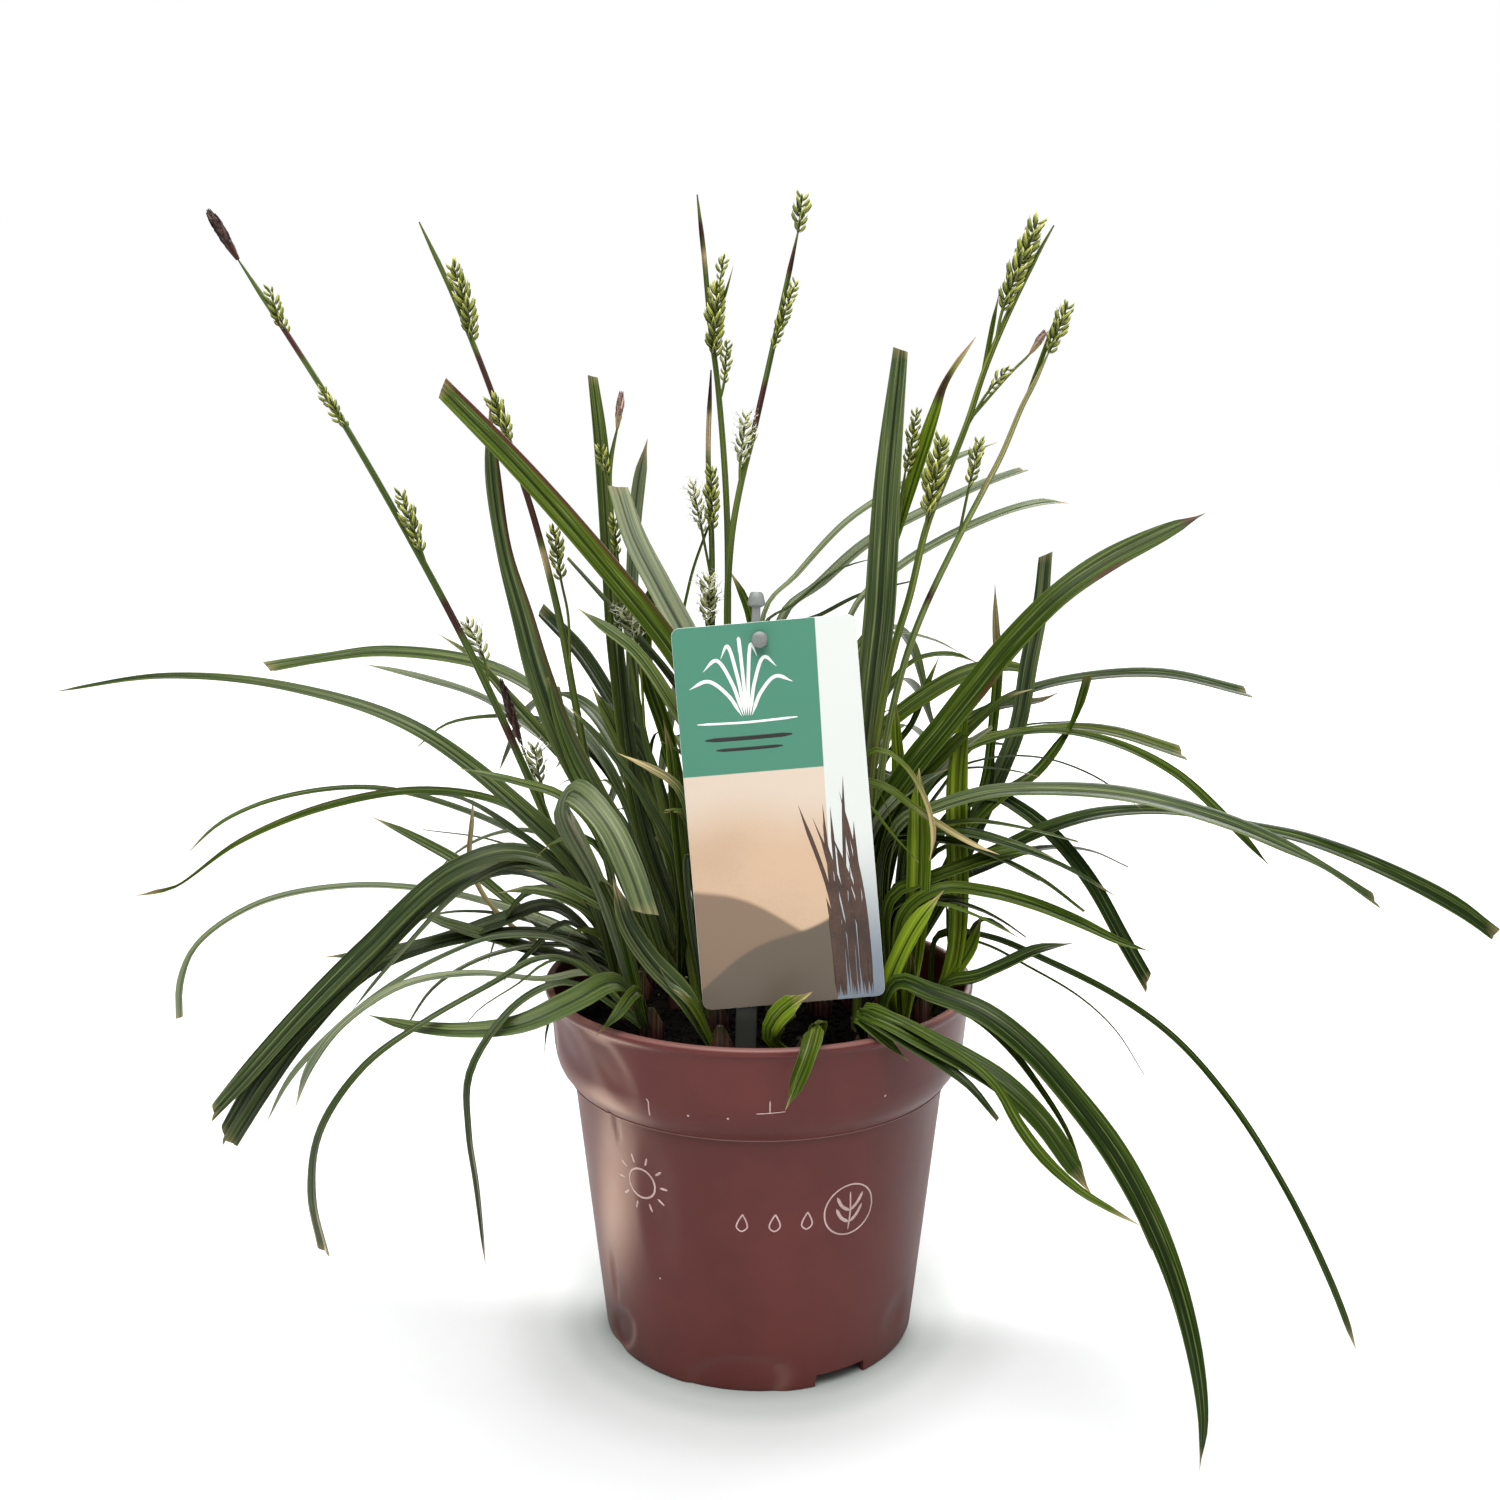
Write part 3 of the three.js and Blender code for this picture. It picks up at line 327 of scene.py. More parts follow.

# %% [markdown]
# ## The green of leaves and stems
# Sedge leaves are leathery: dark bottle green with fine ribs, a groove down the middle, and a gloss
# that turns pale grey where the light grazes it. Some blades are painted pale grey, partly a real bloom
# and partly a painted sheen; the groove is painted dark as painted shade, and a thin pale line on each
# ridge beside it is a painted glint. Young leaves are yellow green, undersides are greyer, and old
# margins and tips dry to brown. One material does all of it, steered by the attributes that each blade
# carries, so that a whole shoot can stay one piece.

# %% Leaf and stem finish
def green_material():
    material, tree, shader = new_material("sedge_green")
    side = attribute(tree, "side")
    half = tree.times(attribute(tree, "half"), 1000.0)
    across = tree.times(side, half)
    off_middle = tree.math("ABSOLUTE", side)
    sockets = {"Across": across, "Along": attribute(tree, "along"), "Seed": attribute(tree, "seed")}
    lines, bands, flecks = tree.add("ShaderNodeGroup", sockets, node_tree=VEINS).outputs

    green = ramp(tree, attribute(tree, "tone"), [
        (0.0, rgb(0.010, 0.022, 0.004)),
        (0.45, rgb(0.037, 0.063, 0.005)),
        (0.7, rgb(0.058, 0.078, 0.004)),
        (1.0, rgb(0.125, 0.185, 0.012)),
    ])
    underside = step_up(tree, attribute(tree, "rim"), 0.05, -0.05)
    pale = attribute(tree, "pale")
    paleness = tree.math("MULTIPLY_ADD", underside, 0.16, pale, clamp=True)
    # pale grey paint: greyer undersides and bloom, and for some blades a painted sheen
    bloom_and_sheen = ramp(tree, paleness, [(0.55, rgb(0.150, 0.178, 0.118)), (1.0, rgb(0.27, 0.295, 0.225))])
    green = mixed(tree, paleness, green, bloom_and_sheen)
    contrast = tree.math("MULTIPLY_ADD", pale, -0.9, 1.0, clamp=True)
    streak = ramp(tree, lines, [
        (0.30, rgb(0.36, 0.40, 0.34)), (0.46, rgb(0.86, 0.88, 0.80)), (0.60, rgb(1.45, 1.4, 1.15)),
    ])
    green = mixed(tree, contrast, green, streak, "MULTIPLY")
    band = ramp(tree, bands, [(0.35, rgb(0.6, 0.66, 0.62)), (0.65, rgb(1.2, 1.15, 0.95))])
    green = mixed(tree, 0.9, green, band, "MULTIPLY")
    rib = tree.times(step_up(tree, lines, 0.60, 0.70), 0.4)
    cream = tree.times(pale, 1.6, clamp=True)
    cream = mixed(tree, cream, rgb(0.160, 0.190, 0.060), rgb(0.44, 0.45, 0.34))
    green = mixed(tree, rib, green, cream)

    folded = tree.times(attribute(tree, "lift"), 3.3)  # about 1 on a blade, 0 on a stem
    # painted shade: the groove down the middle of a folded blade is painted dark
    painted_groove_shade = tree.times(step_up(tree, off_middle, 0.16, 0.03), folded)
    green = mixed(tree, tree.times(painted_groove_shade, 0.75), green, rgb(0.006, 0.012, 0.005))
    # painted glint: a thin pale line on each ridge beside the groove, broken by the flecks, a painted
    # highlight
    ridge = tree.math("ABSOLUTE", tree.math("SUBTRACT", off_middle, 0.30))
    ridge = tree.times(step_up(tree, ridge, 0.07, 0.015), step_up(tree, flecks, 0.40, 0.62))
    ridge = tree.times(ridge, folded)
    green = mixed(tree, tree.times(ridge, 0.36), green, rgb(0.23, 0.28, 0.11))
    rim_line = tree.times(step_up(tree, off_middle, 0.88, 0.98), 0.4)
    green = mixed(tree, rim_line, green, rgb(0.17, 0.22, 0.06))

    old_edge = tree.times(step_up(tree, side, -0.50, -0.80), attribute(tree, "edge"))
    green = mixed(tree, old_edge, green, rgb(0.055, 0.016, 0.012))
    straw = ramp(tree, lines, [(0.3, rgb(0.16, 0.10, 0.048)), (0.7, rgb(0.47, 0.38, 0.19))])
    green = mixed(tree, attribute(tree, "dry"), green, straw)
    wine = ramp(tree, lines, [(0.35, rgb(0.014, 0.006, 0.007)), (0.7, rgb(0.080, 0.032, 0.022))])
    colour = mixed(tree, attribute(tree, "wine"), green, wine)

    tree.wire(shader, {
        "Base Color": colour,
        "Roughness": ramp(tree, bands, [(0.3, grey(0.24)), (0.7, grey(0.40))]),
        "Specular IOR Level": tree.math("MULTIPLY_ADD", paleness, 0.25, 0.11),
        "Specular Tint": rgb(1.0, 1.0, 0.8),
        "Normal": bump(tree, lines, 0.00022, 0.6),
    })
    return material


SEDGE_GREEN = green_material()
print("finish:", SEDGE_GREEN.name)

# %% [markdown]
# ## The sweep
# A leaf, a stem, a leaf sheath and a printed line are all one section drawn along a path, so one
# Geometry Nodes tree makes them all. It sweeps a circle, keeps on each point how far across (side) and
# how far up (rim) it came, and then flattens the circle to the path's own section: thin for a blade,
# with lifted edges and two low ridges beside the middle groove, or left round for a stem.

# %% The sweep tree
def sweep_tree():
    inputs = [("Paths", "Geometry"), ("Section Points", "Int", 16), ("Finish", "Material")]
    group, tree, given = new_group("sweep", "GeometryNodeTree", inputs, [("Swept", "Geometry")])
    paths, section_points, finish = given[:3]
    half, up = tree.carried("half"), tree.carried("up", "FLOAT_VECTOR")
    curves = tree.add("GeometryNodeMeshToCurve", {0: paths}).outputs[0]
    faced = tree.add("GeometryNodeSetCurveNormal", {0: curves, "Normal": up}, mode="FREE")

    ring = tree.add("GeometryNodeCurvePrimitiveCircle", {"Resolution": section_points, "Radius": 1.0})
    spot = tree.add("ShaderNodeSeparateXYZ", {0: tree.add("GeometryNodeInputPosition").outputs[0]})
    section = tree.kept(ring.outputs[0], "side", tree.times(spot.outputs[1], -1.0))
    section = tree.kept(section, "rim", spot.outputs[0])
    sockets = {"Curve": faced.outputs[0], "Profile Curve": section, "Scale": half, "Fill Caps": True}
    swept = tree.add("GeometryNodeCurveToMesh", sockets)

    side = tree.carried("side")
    off_middle = tree.math("ABSOLUTE", side)
    lifted = tree.times(off_middle, tree.carried("lift"))
    wave = tree.math("SINE", tree.times(off_middle, math.pi))
    ridged = tree.math("MULTIPLY_ADD", wave, tree.carried("ridge"), lifted)
    thin = tree.math("SUBTRACT", tree.carried("thick"), 1.0)
    height = tree.math("MULTIPLY_ADD", tree.carried("rim"), thin, ridged)
    raised = tree.scaled(up, tree.times(height, half))
    slanted = tree.scaled(tree.carried("slant", "FLOAT_VECTOR"), side)
    sockets = {"Geometry": swept.outputs[0], "Offset": tree.vector("ADD", raised, slanted)}
    moved = tree.add("GeometryNodeSetPosition", sockets)
    smooth = tree.add("GeometryNodeSetShadeSmooth", {"Geometry": moved.outputs[0]})
    tree.finish(smooth.outputs[0], finish)
    return group


SWEEP = sweep_tree()
print("tree:", SWEEP.name, len(SWEEP.nodes), "nodes")

# %% [markdown]
# ## Paths
# A blade is set out by a few given points, as it is seen from the front: place in the
# elevation, depth, and the width that shows. place() slides such a point along the line of sight to
# its depth. A smooth curve then runs through the points, close ones and far ones alike without
# overshoot, and is cut into short steps with the values that the sweep and the finish need.

# %% From the elevation to the air
def enlarged(y):
    """How much larger a thing at depth y is than it shows on the elevation."""
    return (y - EYE.y) / -EYE.y


def place(x, z, y):
    """A point of the front elevation, moved along the line of sight to depth y."""
    k = enlarged(y)
    return Vector((EYE.x + (x - EYE.x) * k, y, EYE.z + (z - EYE.z) * k))


def true_width(row):
    """The real width of a blade at a set point (x, height, depth, width that shows)."""
    return row[3] * enlarged(row[2])


def unit_rows(rows):
    """Vectors, one a row, each made 1 long."""
    return rows / np.linalg.norm(rows, axis=1)[:, None]


def distance_along(points):
    """How far along a path each of its points lies."""
    return np.concatenate([[0.0], np.cumsum(np.linalg.norm(np.diff(points, axis=0), axis=1))])


def lengthened(rows):
    """Rows of numbers with one more at each end, in line with the last two."""
    rows = [np.array(row, dtype=float) for row in rows]
    return [2 * rows[0] - rows[1]] + rows + [2 * rows[-1] - rows[-2]]


def smooth_run(points, values, step):
    """Points and values along a centripetal curve, one every few millimetres."""
    points, values = lengthened(points), lengthened(values)
    out = []
    for i in range(1, len(points) - 2):
        knots = [max(0.1, np.linalg.norm(points[i + k] - points[i + k - 1])) ** 0.5 for k in (0, 1, 2)]
        count = max(2, round(np.linalg.norm(points[i + 1] - points[i]) / step))
        for n in range(count):
            out.append([between(rows[i - 1:i + 3], knots, n / count) for rows in (points, values)])
    out.append([points[-2], values[-2]])
    return np.array([o[0] for o in out]), np.array([o[1] for o in out])


def smooth_line(points, step):
    """Points alone along the same curve."""
    return smooth_run(points, [(0,)] * len(points), step)[0]


def between(rows, knots, t):
    """One place on the centripetal curve between the middle two of four rows."""
    a, b, c, d = rows
    d0, d1, d2 = knots
    start = ((b - a) / d0 - (c - a) / (d0 + d1) + (c - b) / d1) * d1
    end = ((c - b) / d1 - (d - b) / (d1 + d2) + (d - c) / d2) * d1
    return (
        (2 * t**3 - 3 * t**2 + 1) * b + (t**3 - 2 * t**2 + t) * start
        + (3 * t**2 - 2 * t**3) * c + (t**3 - t**2) * end
    )


class Paths:
    """Collects paths and their values, and turns them into one mesh of edges."""

    FLOATS = ("half", "thick", "lift", "ridge", "tone", "pale", "dry", "wine", "edge", "along", "seed")
    VECTORS = ("up", "slant")

    def __init__(self):
        self.points, self.edges = [], []
        self.values = {name: [] for name in self.FLOATS + self.VECTORS}

    def add(self, points, **values):
        """One path, in millimetres. A value is one number for all of it or a list."""
        first = len(self.points)
        count = len(points)
        self.points += [tuple(p) for p in points]
        self.edges += [(first + i, first + i + 1) for i in range(count - 1)]
        values.setdefault("along", distance_along(points))
        for name in self.FLOATS:
            self.values[name] += list(np.broadcast_to(values.get(name, 0.0), count))
        for name in self.VECTORS:
            self.values[name] += [tuple(v) for v in np.broadcast_to(values.get(name, (0, 0, 0)), (count, 3))]

    def mesh(self, name):
        made = bpy.data.meshes.new(name)
        made.from_pydata([tuple(MM * c for c in p) for p in self.points], self.edges, [])
        for key in self.FLOATS:
            scale = MM if key == "half" else 1.0
            carry(made, key, np.array(self.values[key], dtype=float) * scale)
        for key in self.VECTORS:
            scale = MM if key == "slant" else 1.0
            layer = made.attributes.new(key, "FLOAT_VECTOR", "POINT")
            layer.data.foreach_set("vector", np.array(self.values[key], dtype=float).ravel() * scale)
        return made


def swept_piece(name, paths, section_points, finish):
    values = {"Section Points": section_points, "Finish": finish}
    return grown(name, paths.mesh(name), SWEEP, values)


print("place(0, 110, 0) =", tuple(place(0, 110, 0)))

# %% [markdown]
# ## Where every leaf and stem goes
# The tables below are the plant as it was laid out, in millimetres. A shoot has its root and
# its blades. A blade has its end (how it is cut, dried or stained there), its look, how far its face is
# turned to the front (1 is wholly), and points (x, height, depth, width that shows) on the elevation.

# %% Shoots
SHOOTS = {
    "left_front": (-34, -30, [
        ("cut", "mist", 0.9, [(-52, 150, -40, 5), (-63, 175, -50, 7), (-60, 182, -58, 8),
         (-50, 171, -68, 9), (-43, 156, -74, 9), (-38, 141, -78, 8)]),
        ("tip", "leaf", 0.8, [(-48, 117, -50, 6), (-62, 110, -62, 8), (-80, 102, -70, 6.5),
         (-100, 100, -72, 5), (-118, 102, -70, 3.5), (-131, 106, -66, 1)]),
        ("tip", "deep", 0.7, [(-60, 116, -42, 2), (-72, 115, -58, 2.5), (-85, 105, -72, 2.5),
         (-97, 85, -84, 2.6), (-98, 65, -84, 2.2), (-96, 45, -80, 2), (-94, 15, -76, 0.7)]),
        ("cut", "deep", 0.6, [(-62, 124, -34, 1.6), (-74, 125, -46, 2), (-88, 117, -58, 2),
         (-112, 103, -74, 2), (-132, 88, -80, 2.4), (-148, 65, -80, 2.6), (-152, 42, -76, 3),
         (-149, 21, -70, 3.4)]),
        ("tip", "leaf", 0.8, [(-48, 140, -35, 4), (-60, 149, -40, 4), (-70, 154, -41, 3),
         (-77, 156, -41, 0.8)]),
    ]),
    "left_low": (-12, -46, [
        ("tip", "deep", 0.8, [(-26, 113, -52, 7), (-36, 124, -54, 7), (-44, 137, -56, 6.5),
         (-48, 153, -57, 3)]),
    ]),
    "left_long": (-43, -10, [
        ("tip", "deep", 0.75, [(-56, 150, -26, 7.5), (-78, 176, -42, 6), (-112, 203, -46, 4.5),
         (-150, 216, -42, 3), (-190, 220, -34, 2), (-227, 215, -26, 0.8)]),
        ("tip", "leaf", 0.7, [(-52, 165, -33, 3), (-64, 180, -46, 3), (-78, 185, -54, 2.5),
         (-90, 188, -56, 2), (-98, 190, -56, 0.7)]),
        ("tip", "silver", 0.5, [(-56, 120, -18, 2), (-72, 118, -24, 2), (-95, 120, -34, 2.2),
         (-118, 116, -42, 2.5), (-138, 103, -48, 2.6), (-150, 88, -50, 3), (-157, 72, -50, 1)]),
        ("tip", "pale", 0.5, [(-62, 130, -16, 1.6), (-85, 133, -20, 1.6), (-105, 126, -26, 1.6),
         (-125, 114, -34, 2), (-143, 99, -41, 2), (-157, 84, -45, 2), (-167, 67, -45, 0.8)]),
        ("tip", "leaf", 0.8, [(-46, 130, -15, 4), (-55, 141, -19, 4.5), (-66, 147, -21, 4),
         (-77, 149, -21, 2.5), (-86, 148, -21, 0.8)]),
    ]),
    "left_bundle": (-40, 6, [
        ("cut", "deep", 0.65, [(-58, 150, -8, 6), (-80, 161, -18, 6), (-100, 155, -24, 6.2),
         (-130, 128, -28, 6.4), (-150, 108, -30, 6.4), (-170, 86, -30, 6.2), (-184, 71, -28, 4)]),
        ("cut", "deep", 0.6, [(-60, 146, -4, 5), (-82, 156, -12, 5.5), (-104, 147, -18, 6),
         (-130, 122, -22, 5.6), (-150, 103, -25, 5.4), (-166, 86, -26, 5.6), (-181, 63, -26, 4)]),
        ("cut", "deep", 0.55, [(-54, 128, 2, 3.5), (-70, 133, 0, 4), (-90, 133, -6, 4),
         (-110, 129, -12, 4.5), (-130, 120, -17, 4.6), (-150, 100, -20, 5), (-165, 80, -20, 5.4),
         (-178, 60, -20, 5)]),
        ("tip", "deep", 0.6, [(-68, 143, 2, 4), (-85, 138, -1, 5), (-105, 131, -5, 4.6),
         (-125, 127, -9, 3.5), (-145, 126, -10, 0.8)]),
        ("tip", "leaf", 0.5, [(-60, 124, 0, 3.5), (-72, 127, -4, 4), (-85, 131, -6, 4), (-98, 135, -7, 4),
         (-108, 139, -8, 3), (-117, 147, -8, 0.8)]),
    ]),
    "left_pale": (-38, 20, [
        ("cut", "pale", 0.45, [(-62, 133, 14, 3), (-80, 141, 14, 2.6), (-105, 148, 14, 2.2),
         (-135, 150, 12, 2), (-165, 144, 8, 2), (-186, 130, 4, 1.8), (-192, 117, 2, 2.4),
         (-193, 105, 0, 2.4)]),
        ("tip", "leaf", 0.7, [(-62, 130, 19, 3), (-80, 143, 21, 3), (-97, 157, 22, 3.6), (-112, 166, 22, 3),
         (-127, 174, 20, 0.7)]),
        ("dry", "straw", 0.8, [(-72, 130, 9, 1.6), (-88, 143, 6, 1.6), (-95, 158, 2, 1.8),
         (-94, 172, 0, 1.6), (-93, 181, 0, 0.7)]),
    ]),
    "left_back": (-28, 36, [
        ("tip", "leaf", 0.45, [(-52, 146, 40, 2), (-72, 163, 45, 2.2), (-95, 175, 50, 2),
         (-125, 183, 52, 1.7), (-155, 180, 50, 1.6), (-175, 172, 47, 1.2), (-188, 161, 44, 0.7)]),
        ("tip brown", "leaf", 0.5, [(-58, 158, 33, 2.5), (-82, 177, 34, 2.6), (-108, 182, 35, 2.6),
         (-140, 177, 35, 2.6), (-170, 165, 33, 1.8), (-192, 150, 30, 0.9), (-199, 148, 30, 1.6),
         (-206, 147, 30, 0.7)]),
        ("cut", "leaf", 0.4, [(-50, 190, 36, 3.5), (-72, 214, 38, 4), (-90, 223, 38, 4),
         (-120, 227, 36, 3.6), (-140, 225, 33, 3), (-157, 222, 30, 3.6)]),
        ("tip", "pale", 0.45, [(-50, 180, 46, 2), (-75, 203, 50, 2.6), (-90, 213, 52, 2.2),
         (-108, 219, 52, 2.2), (-127, 224, 50, 0.8)]),
        ("tip", "leaf", 0.7, [(-50, 178, 25, 4), (-66, 196, 26, 4), (-80, 212, 26, 3.4), (-92, 226, 25, 2),
         (-103, 234, 24, 0.7)]),
    ]),
    "left_tall": (-26, 2, [
        ("tip brown", "grey", 0.95, [(-46, 165, 0, 8), (-55, 182, -2, 9), (-64, 200, -2, 9),
         (-71, 220, -2, 8.5), (-76, 240, -2, 7), (-81, 260, 0, 5), (-84, 285, 2, 4.8), (-84, 306, 2, 0.8)]),
        ("tip", "deep", 0.8, [(-28, 160, -14, 2.6), (-34, 174, -15, 2.6), (-48, 195, -16, 2.6),
         (-62, 211, -15, 1)]),
    ]),
    "left_inner": (-14, -22, [
        ("tip", "leaf", 0.7, [(-24, 140, -25, 3.5), (-28, 180, -28, 4), (-29, 195, -28, 3),
         (-31, 206, -28, 0.8)]),
        ("tip sere", "leaf", 0.8, [(-22, 170, -30, 3), (-27, 184, -31, 3), (-34, 189, -31, 2.6),
         (-46, 195, -31, 0.8)]),
        ("tip", "leaf", 0.8, [(-18, 190, -24, 4), (-29, 212, -24, 4.4), (-40, 228, -23, 4),
         (-50, 236, -21, 3.4), (-58, 242, -19, 0.8)]),
    ]),
    "mid_left": (-16, 16, [
        ("cut", "leaf", 0.9, [(-38, 170, 12, 6), (-46, 225, 14, 5.5), (-48, 260, 14, 5),
         (-50, 295, 13, 4.4), (-52, 314, 13, 3)]),
        ("tip", "pale", 0.8, [(-32, 170, 22, 4), (-40, 205, 25, 4), (-41, 240, 26, 4), (-40, 265, 26, 4),
         (-38, 283, 24, 4), (-35, 295, 22, 1.5)]),
        ("cut", "deep", 0.7, [(-36, 190, 16, 5), (-48, 212, 18, 5), (-58, 228, 20, 5), (-70, 241, 20, 4)]),
        ("tip", "leaf", 0.8, [(-30, 165, 10, 5), (-38, 183, 11, 5.5), (-47, 203, 12, 5.5),
         (-54, 217, 13, 1.5)]),
        ("cut", "leaf", 0.9, [(-24, 170, 6, 4), (-30, 200, 8, 5), (-37, 225, 9, 5), (-35, 245, 9, 4.4),
         (-32, 250, 9, 3.6)]),
    ]),
    "mid_cross": (6, 4, [
        ("cut brown", "leaf", 0.8, [(2, 170, -6, 7), (-12, 200, -10, 7.5), (-28, 228, -12, 7.5),
         (-50, 256, -12, 7.5), (-75, 285, -10, 7), (-99, 310, -8, 6)]),
        ("cut", "sheen", 0.85, [(-2, 185, -2, 7), (-20, 225, -3, 8), (-32, 248, -3, 8), (-40, 264, -3, 7.4),
         (-45, 280, -2, 6)]),
        ("tip", "leaf", 0.7, [(2, 180, 13, 3), (-2, 220, 18, 3), (-3, 238, 19, 3), (-6, 247, 19, 2.4),
         (-10, 255, 19, 0.8)]),
    ]),
    "mid_right": (20, -6, [
        ("cut", "grey", 0.92, [(30, 160, -10, 8.5), (35, 200, -12, 9), (37, 220, -12, 9.5),
         (39, 240, -12, 10), (40, 262, -10, 9.5), (41, 285, -8, 8), (44, 322, -4, 4.6)]),
        ("tip sere", "leaf", 0.8, [(28, 182, -26, 1.6), (38, 196, -30, 1.6), (46, 192, -33, 1.6),
         (52, 184, -35, 1.6), (56, 174, -37, 1.7), (57, 166, -38, 2), (56, 159, -38, 1)]),
        ("tip sere", "leaf", 0.7, [(28, 184, -24, 2.4), (40, 184, -31, 2.4), (50, 177, -35, 2.4),
         (62, 169, -36, 2.2), (71, 164, -36, 1.6), (79, 161, -35, 0.7)]),
    ]),
    "right_back": (22, 40, [
        ("cut", "silver", 0.4, [(8, 238, 60, 3), (20, 249, 66, 3.2), (35, 262, 72, 3.5), (55, 273, 78, 3),
         (72, 281, 82, 2.5), (83, 285, 84, 2)]),
        ("tip", "silver", 0.45, [(2, 240, 50, 1.6), (12, 252, 55, 1.8), (28, 269, 60, 2),
         (45, 280, 64, 2.2), (60, 288, 66, 2), (75, 294, 68, 0.7)]),
        ("tip", "silver", 0.45, [(30, 240, 60, 2), (44, 254, 66, 2.5), (60, 264, 72, 2.6),
         (78, 272, 78, 2.4), (90, 275, 80, 2.2), (98, 275, 82, 0.7)]),
        ("cut", "leaf", 0.7, [(30, 190, 38, 5), (42, 204, 38, 5), (55, 214, 38, 5.5), (68, 221, 38, 5),
         (80, 223, 38, 3.5), (88, 221, 38, 2)]),
        ("tip", "leaf", 0.6, [(38, 210, 46, 1.6), (50, 225, 48, 1.6), (62, 227, 48, 1.6),
         (71, 224, 48, 1)]),
        ("tip", "leaf", 0.6, [(40, 190, 42, 2), (50, 205, 42, 2), (54, 216, 42, 2), (58, 227, 42, 0.7)]),
    ]),
    "right_wide": (31, 4, [
        ("tip singed", "moss", 0.85, [(40, 172, -12, 6), (50, 190, -17, 8), (60, 203, -20, 8),
         (70, 216, -20, 8.5), (80, 229, -20, 8), (95, 245, -20, 7.5), (110, 256, -18, 7.5),
         (127, 265, -16, 5.5), (141, 272, -14, 0.8)]),
        ("tip", "fresh", 0.8, [(42, 160, -8, 4), (46, 185, -8, 5), (45, 200, -8, 3.5), (44, 213, -8, 0.8)]),
    ]),
    "right_tall": (46, 22, [
        ("cut", "grey", 0.95, [(62, 150, 20, 6), (73, 175, 20, 6), (80, 192, 20, 5.5), (84, 204, 20, 5.5),
         (87, 225, 20, 5.8), (90, 243, 20, 5), (91, 259, 20, 4.2)]),
        ("tip sere", "leaf", 0.85, [(60, 150, 27, 3), (73, 182, 28, 3), (76, 205, 28, 3.2),
         (77, 225, 28, 3.2), (76, 235, 27, 2.4), (75, 250, 26, 0.7)]),
        ("cut", "deep", 0.4, [(50, 170, 31, 3), (60, 190, 34, 3), (70, 205, 36, 3), (85, 214, 38, 3),
         (105, 219, 40, 3), (130, 220, 40, 3.2), (157, 214, 38, 3.2)]),
        ("tip brown", "leaf", 0.5, [(50, 180, 33, 2), (62, 201, 37, 3), (75, 209, 41, 3),
         (85, 211, 43, 2.5), (91, 212, 44, 2), (97, 215, 44, 0.7)]),
    ]),
    "right_mid": (45, 6, [
        ("cut", "olive", 0.45, [(50, 170, 6, 2), (58, 192, 8, 2.5), (70, 199, 10, 2), (85, 202, 10, 1.8),
         (100, 203, 10, 2.5), (115, 201, 10, 3.5), (137, 194, 8, 4)]),
        ("tip", "leaf", 0.6, [(48, 165, 2, 2), (60, 190, 4, 2.5), (75, 199, 5, 2), (95, 202, 5, 2),
         (115, 198, 4, 2.6), (135, 188, 2, 3), (152, 173, 2, 3), (160, 165, 2, 2.2), (168, 157, 2, 0.7)]),
        ("cut", "leaf", 0.8, [(66, 165, 0, 3), (80, 181, 2, 3.5), (90, 188, 4, 3.5), (97, 197, 5, 3),
         (101, 204, 6, 1.6), (104, 212, 6, 2.8), (106, 220, 6, 2.8)]),
        ("cut", "deep", 0.7, [(55, 160, 3, 4), (65, 175, 4, 4.5), (74, 181, 4, 4.5), (85, 176, 3, 4.5),
         (97, 166, 1, 4.8), (109, 151, -1, 5), (120, 132, -3, 5), (129, 117, -4, 4.8)]),
        ("cut", "deep", 0.45, [(46, 148, -2, 4), (60, 153, -4, 4), (78, 161, -6, 4.2), (95, 169, -7, 4.5),
         (112, 174, -7, 4), (135, 175, -6, 3), (160, 170, -5, 3), (180, 165, -5, 4), (205, 155, -5, 5),
         (230, 142, -5, 5.5), (243, 133, -5, 4.5)]),
    ]),
    "right_grey": (40, -14, [
        ("cut", "grey", 0.5, [(46, 170, -22, 4), (58, 176, -24, 4.2), (75, 181, -26, 4.5),
         (95, 182, -26, 4.5), (120, 180, -24, 5), (150, 172, -20, 5), (170, 164, -18, 4.5),
         (185, 157, -16, 2.2), (203, 145, -14, 3)]),
    ]),
    "right_edge": (54, -14, [
        ("tip", "fresh", 0.95, [(64, 121, -20, 5.5), (66, 133, -20, 6), (66, 150, -18, 7),
         (65, 170, -16, 7), (65, 190, -14, 6.5), (67, 213, -12, 1)]),
        ("tip", "fresh", 0.8, [(66, 121, -22, 4), (71, 130, -21, 4.4), (74, 141, -20, 1)]),
        ("tip", "deep", 0.6, [(63, 117, -26, 3), (73, 119, -31, 4), (82, 123, -31, 4), (92, 128, -30, 3.5),
         (105, 131, -28, 0.8)]),
        ("tip", "deep", 0.8, [(60, 134, -12, 2), (76, 133, -14, 2), (95, 125, -16, 2.2),
         (120, 112, -18, 2.2), (140, 97, -22, 2.2), (160, 74, -28, 2.2), (180, 43, -32, 2.2),
         (197, 10, -36, 2.4), (208, -16, -38, 2.2)]),
        ("tip", "deep", 0.8, [(68, 130, -13, 1.6), (74, 139, -13, 1.6), (87, 132, -13, 0.8)]),
    ]),
    "right_front": (44, -28, [
        ("tip", "leaf", 0.7, [(48, 140, -30, 4), (60, 149, -32, 4), (75, 148, -32, 4.2),
         (90, 144, -30, 4.2), (105, 138, -28, 3.8), (120, 131, -26, 2.5), (130, 128, -24, 0.8)]),
        ("tip", "fresh", 0.85, [(44, 117, -36, 5.5), (47, 126, -36, 6), (53, 138, -36, 6),
         (61, 149, -36, 1)]),
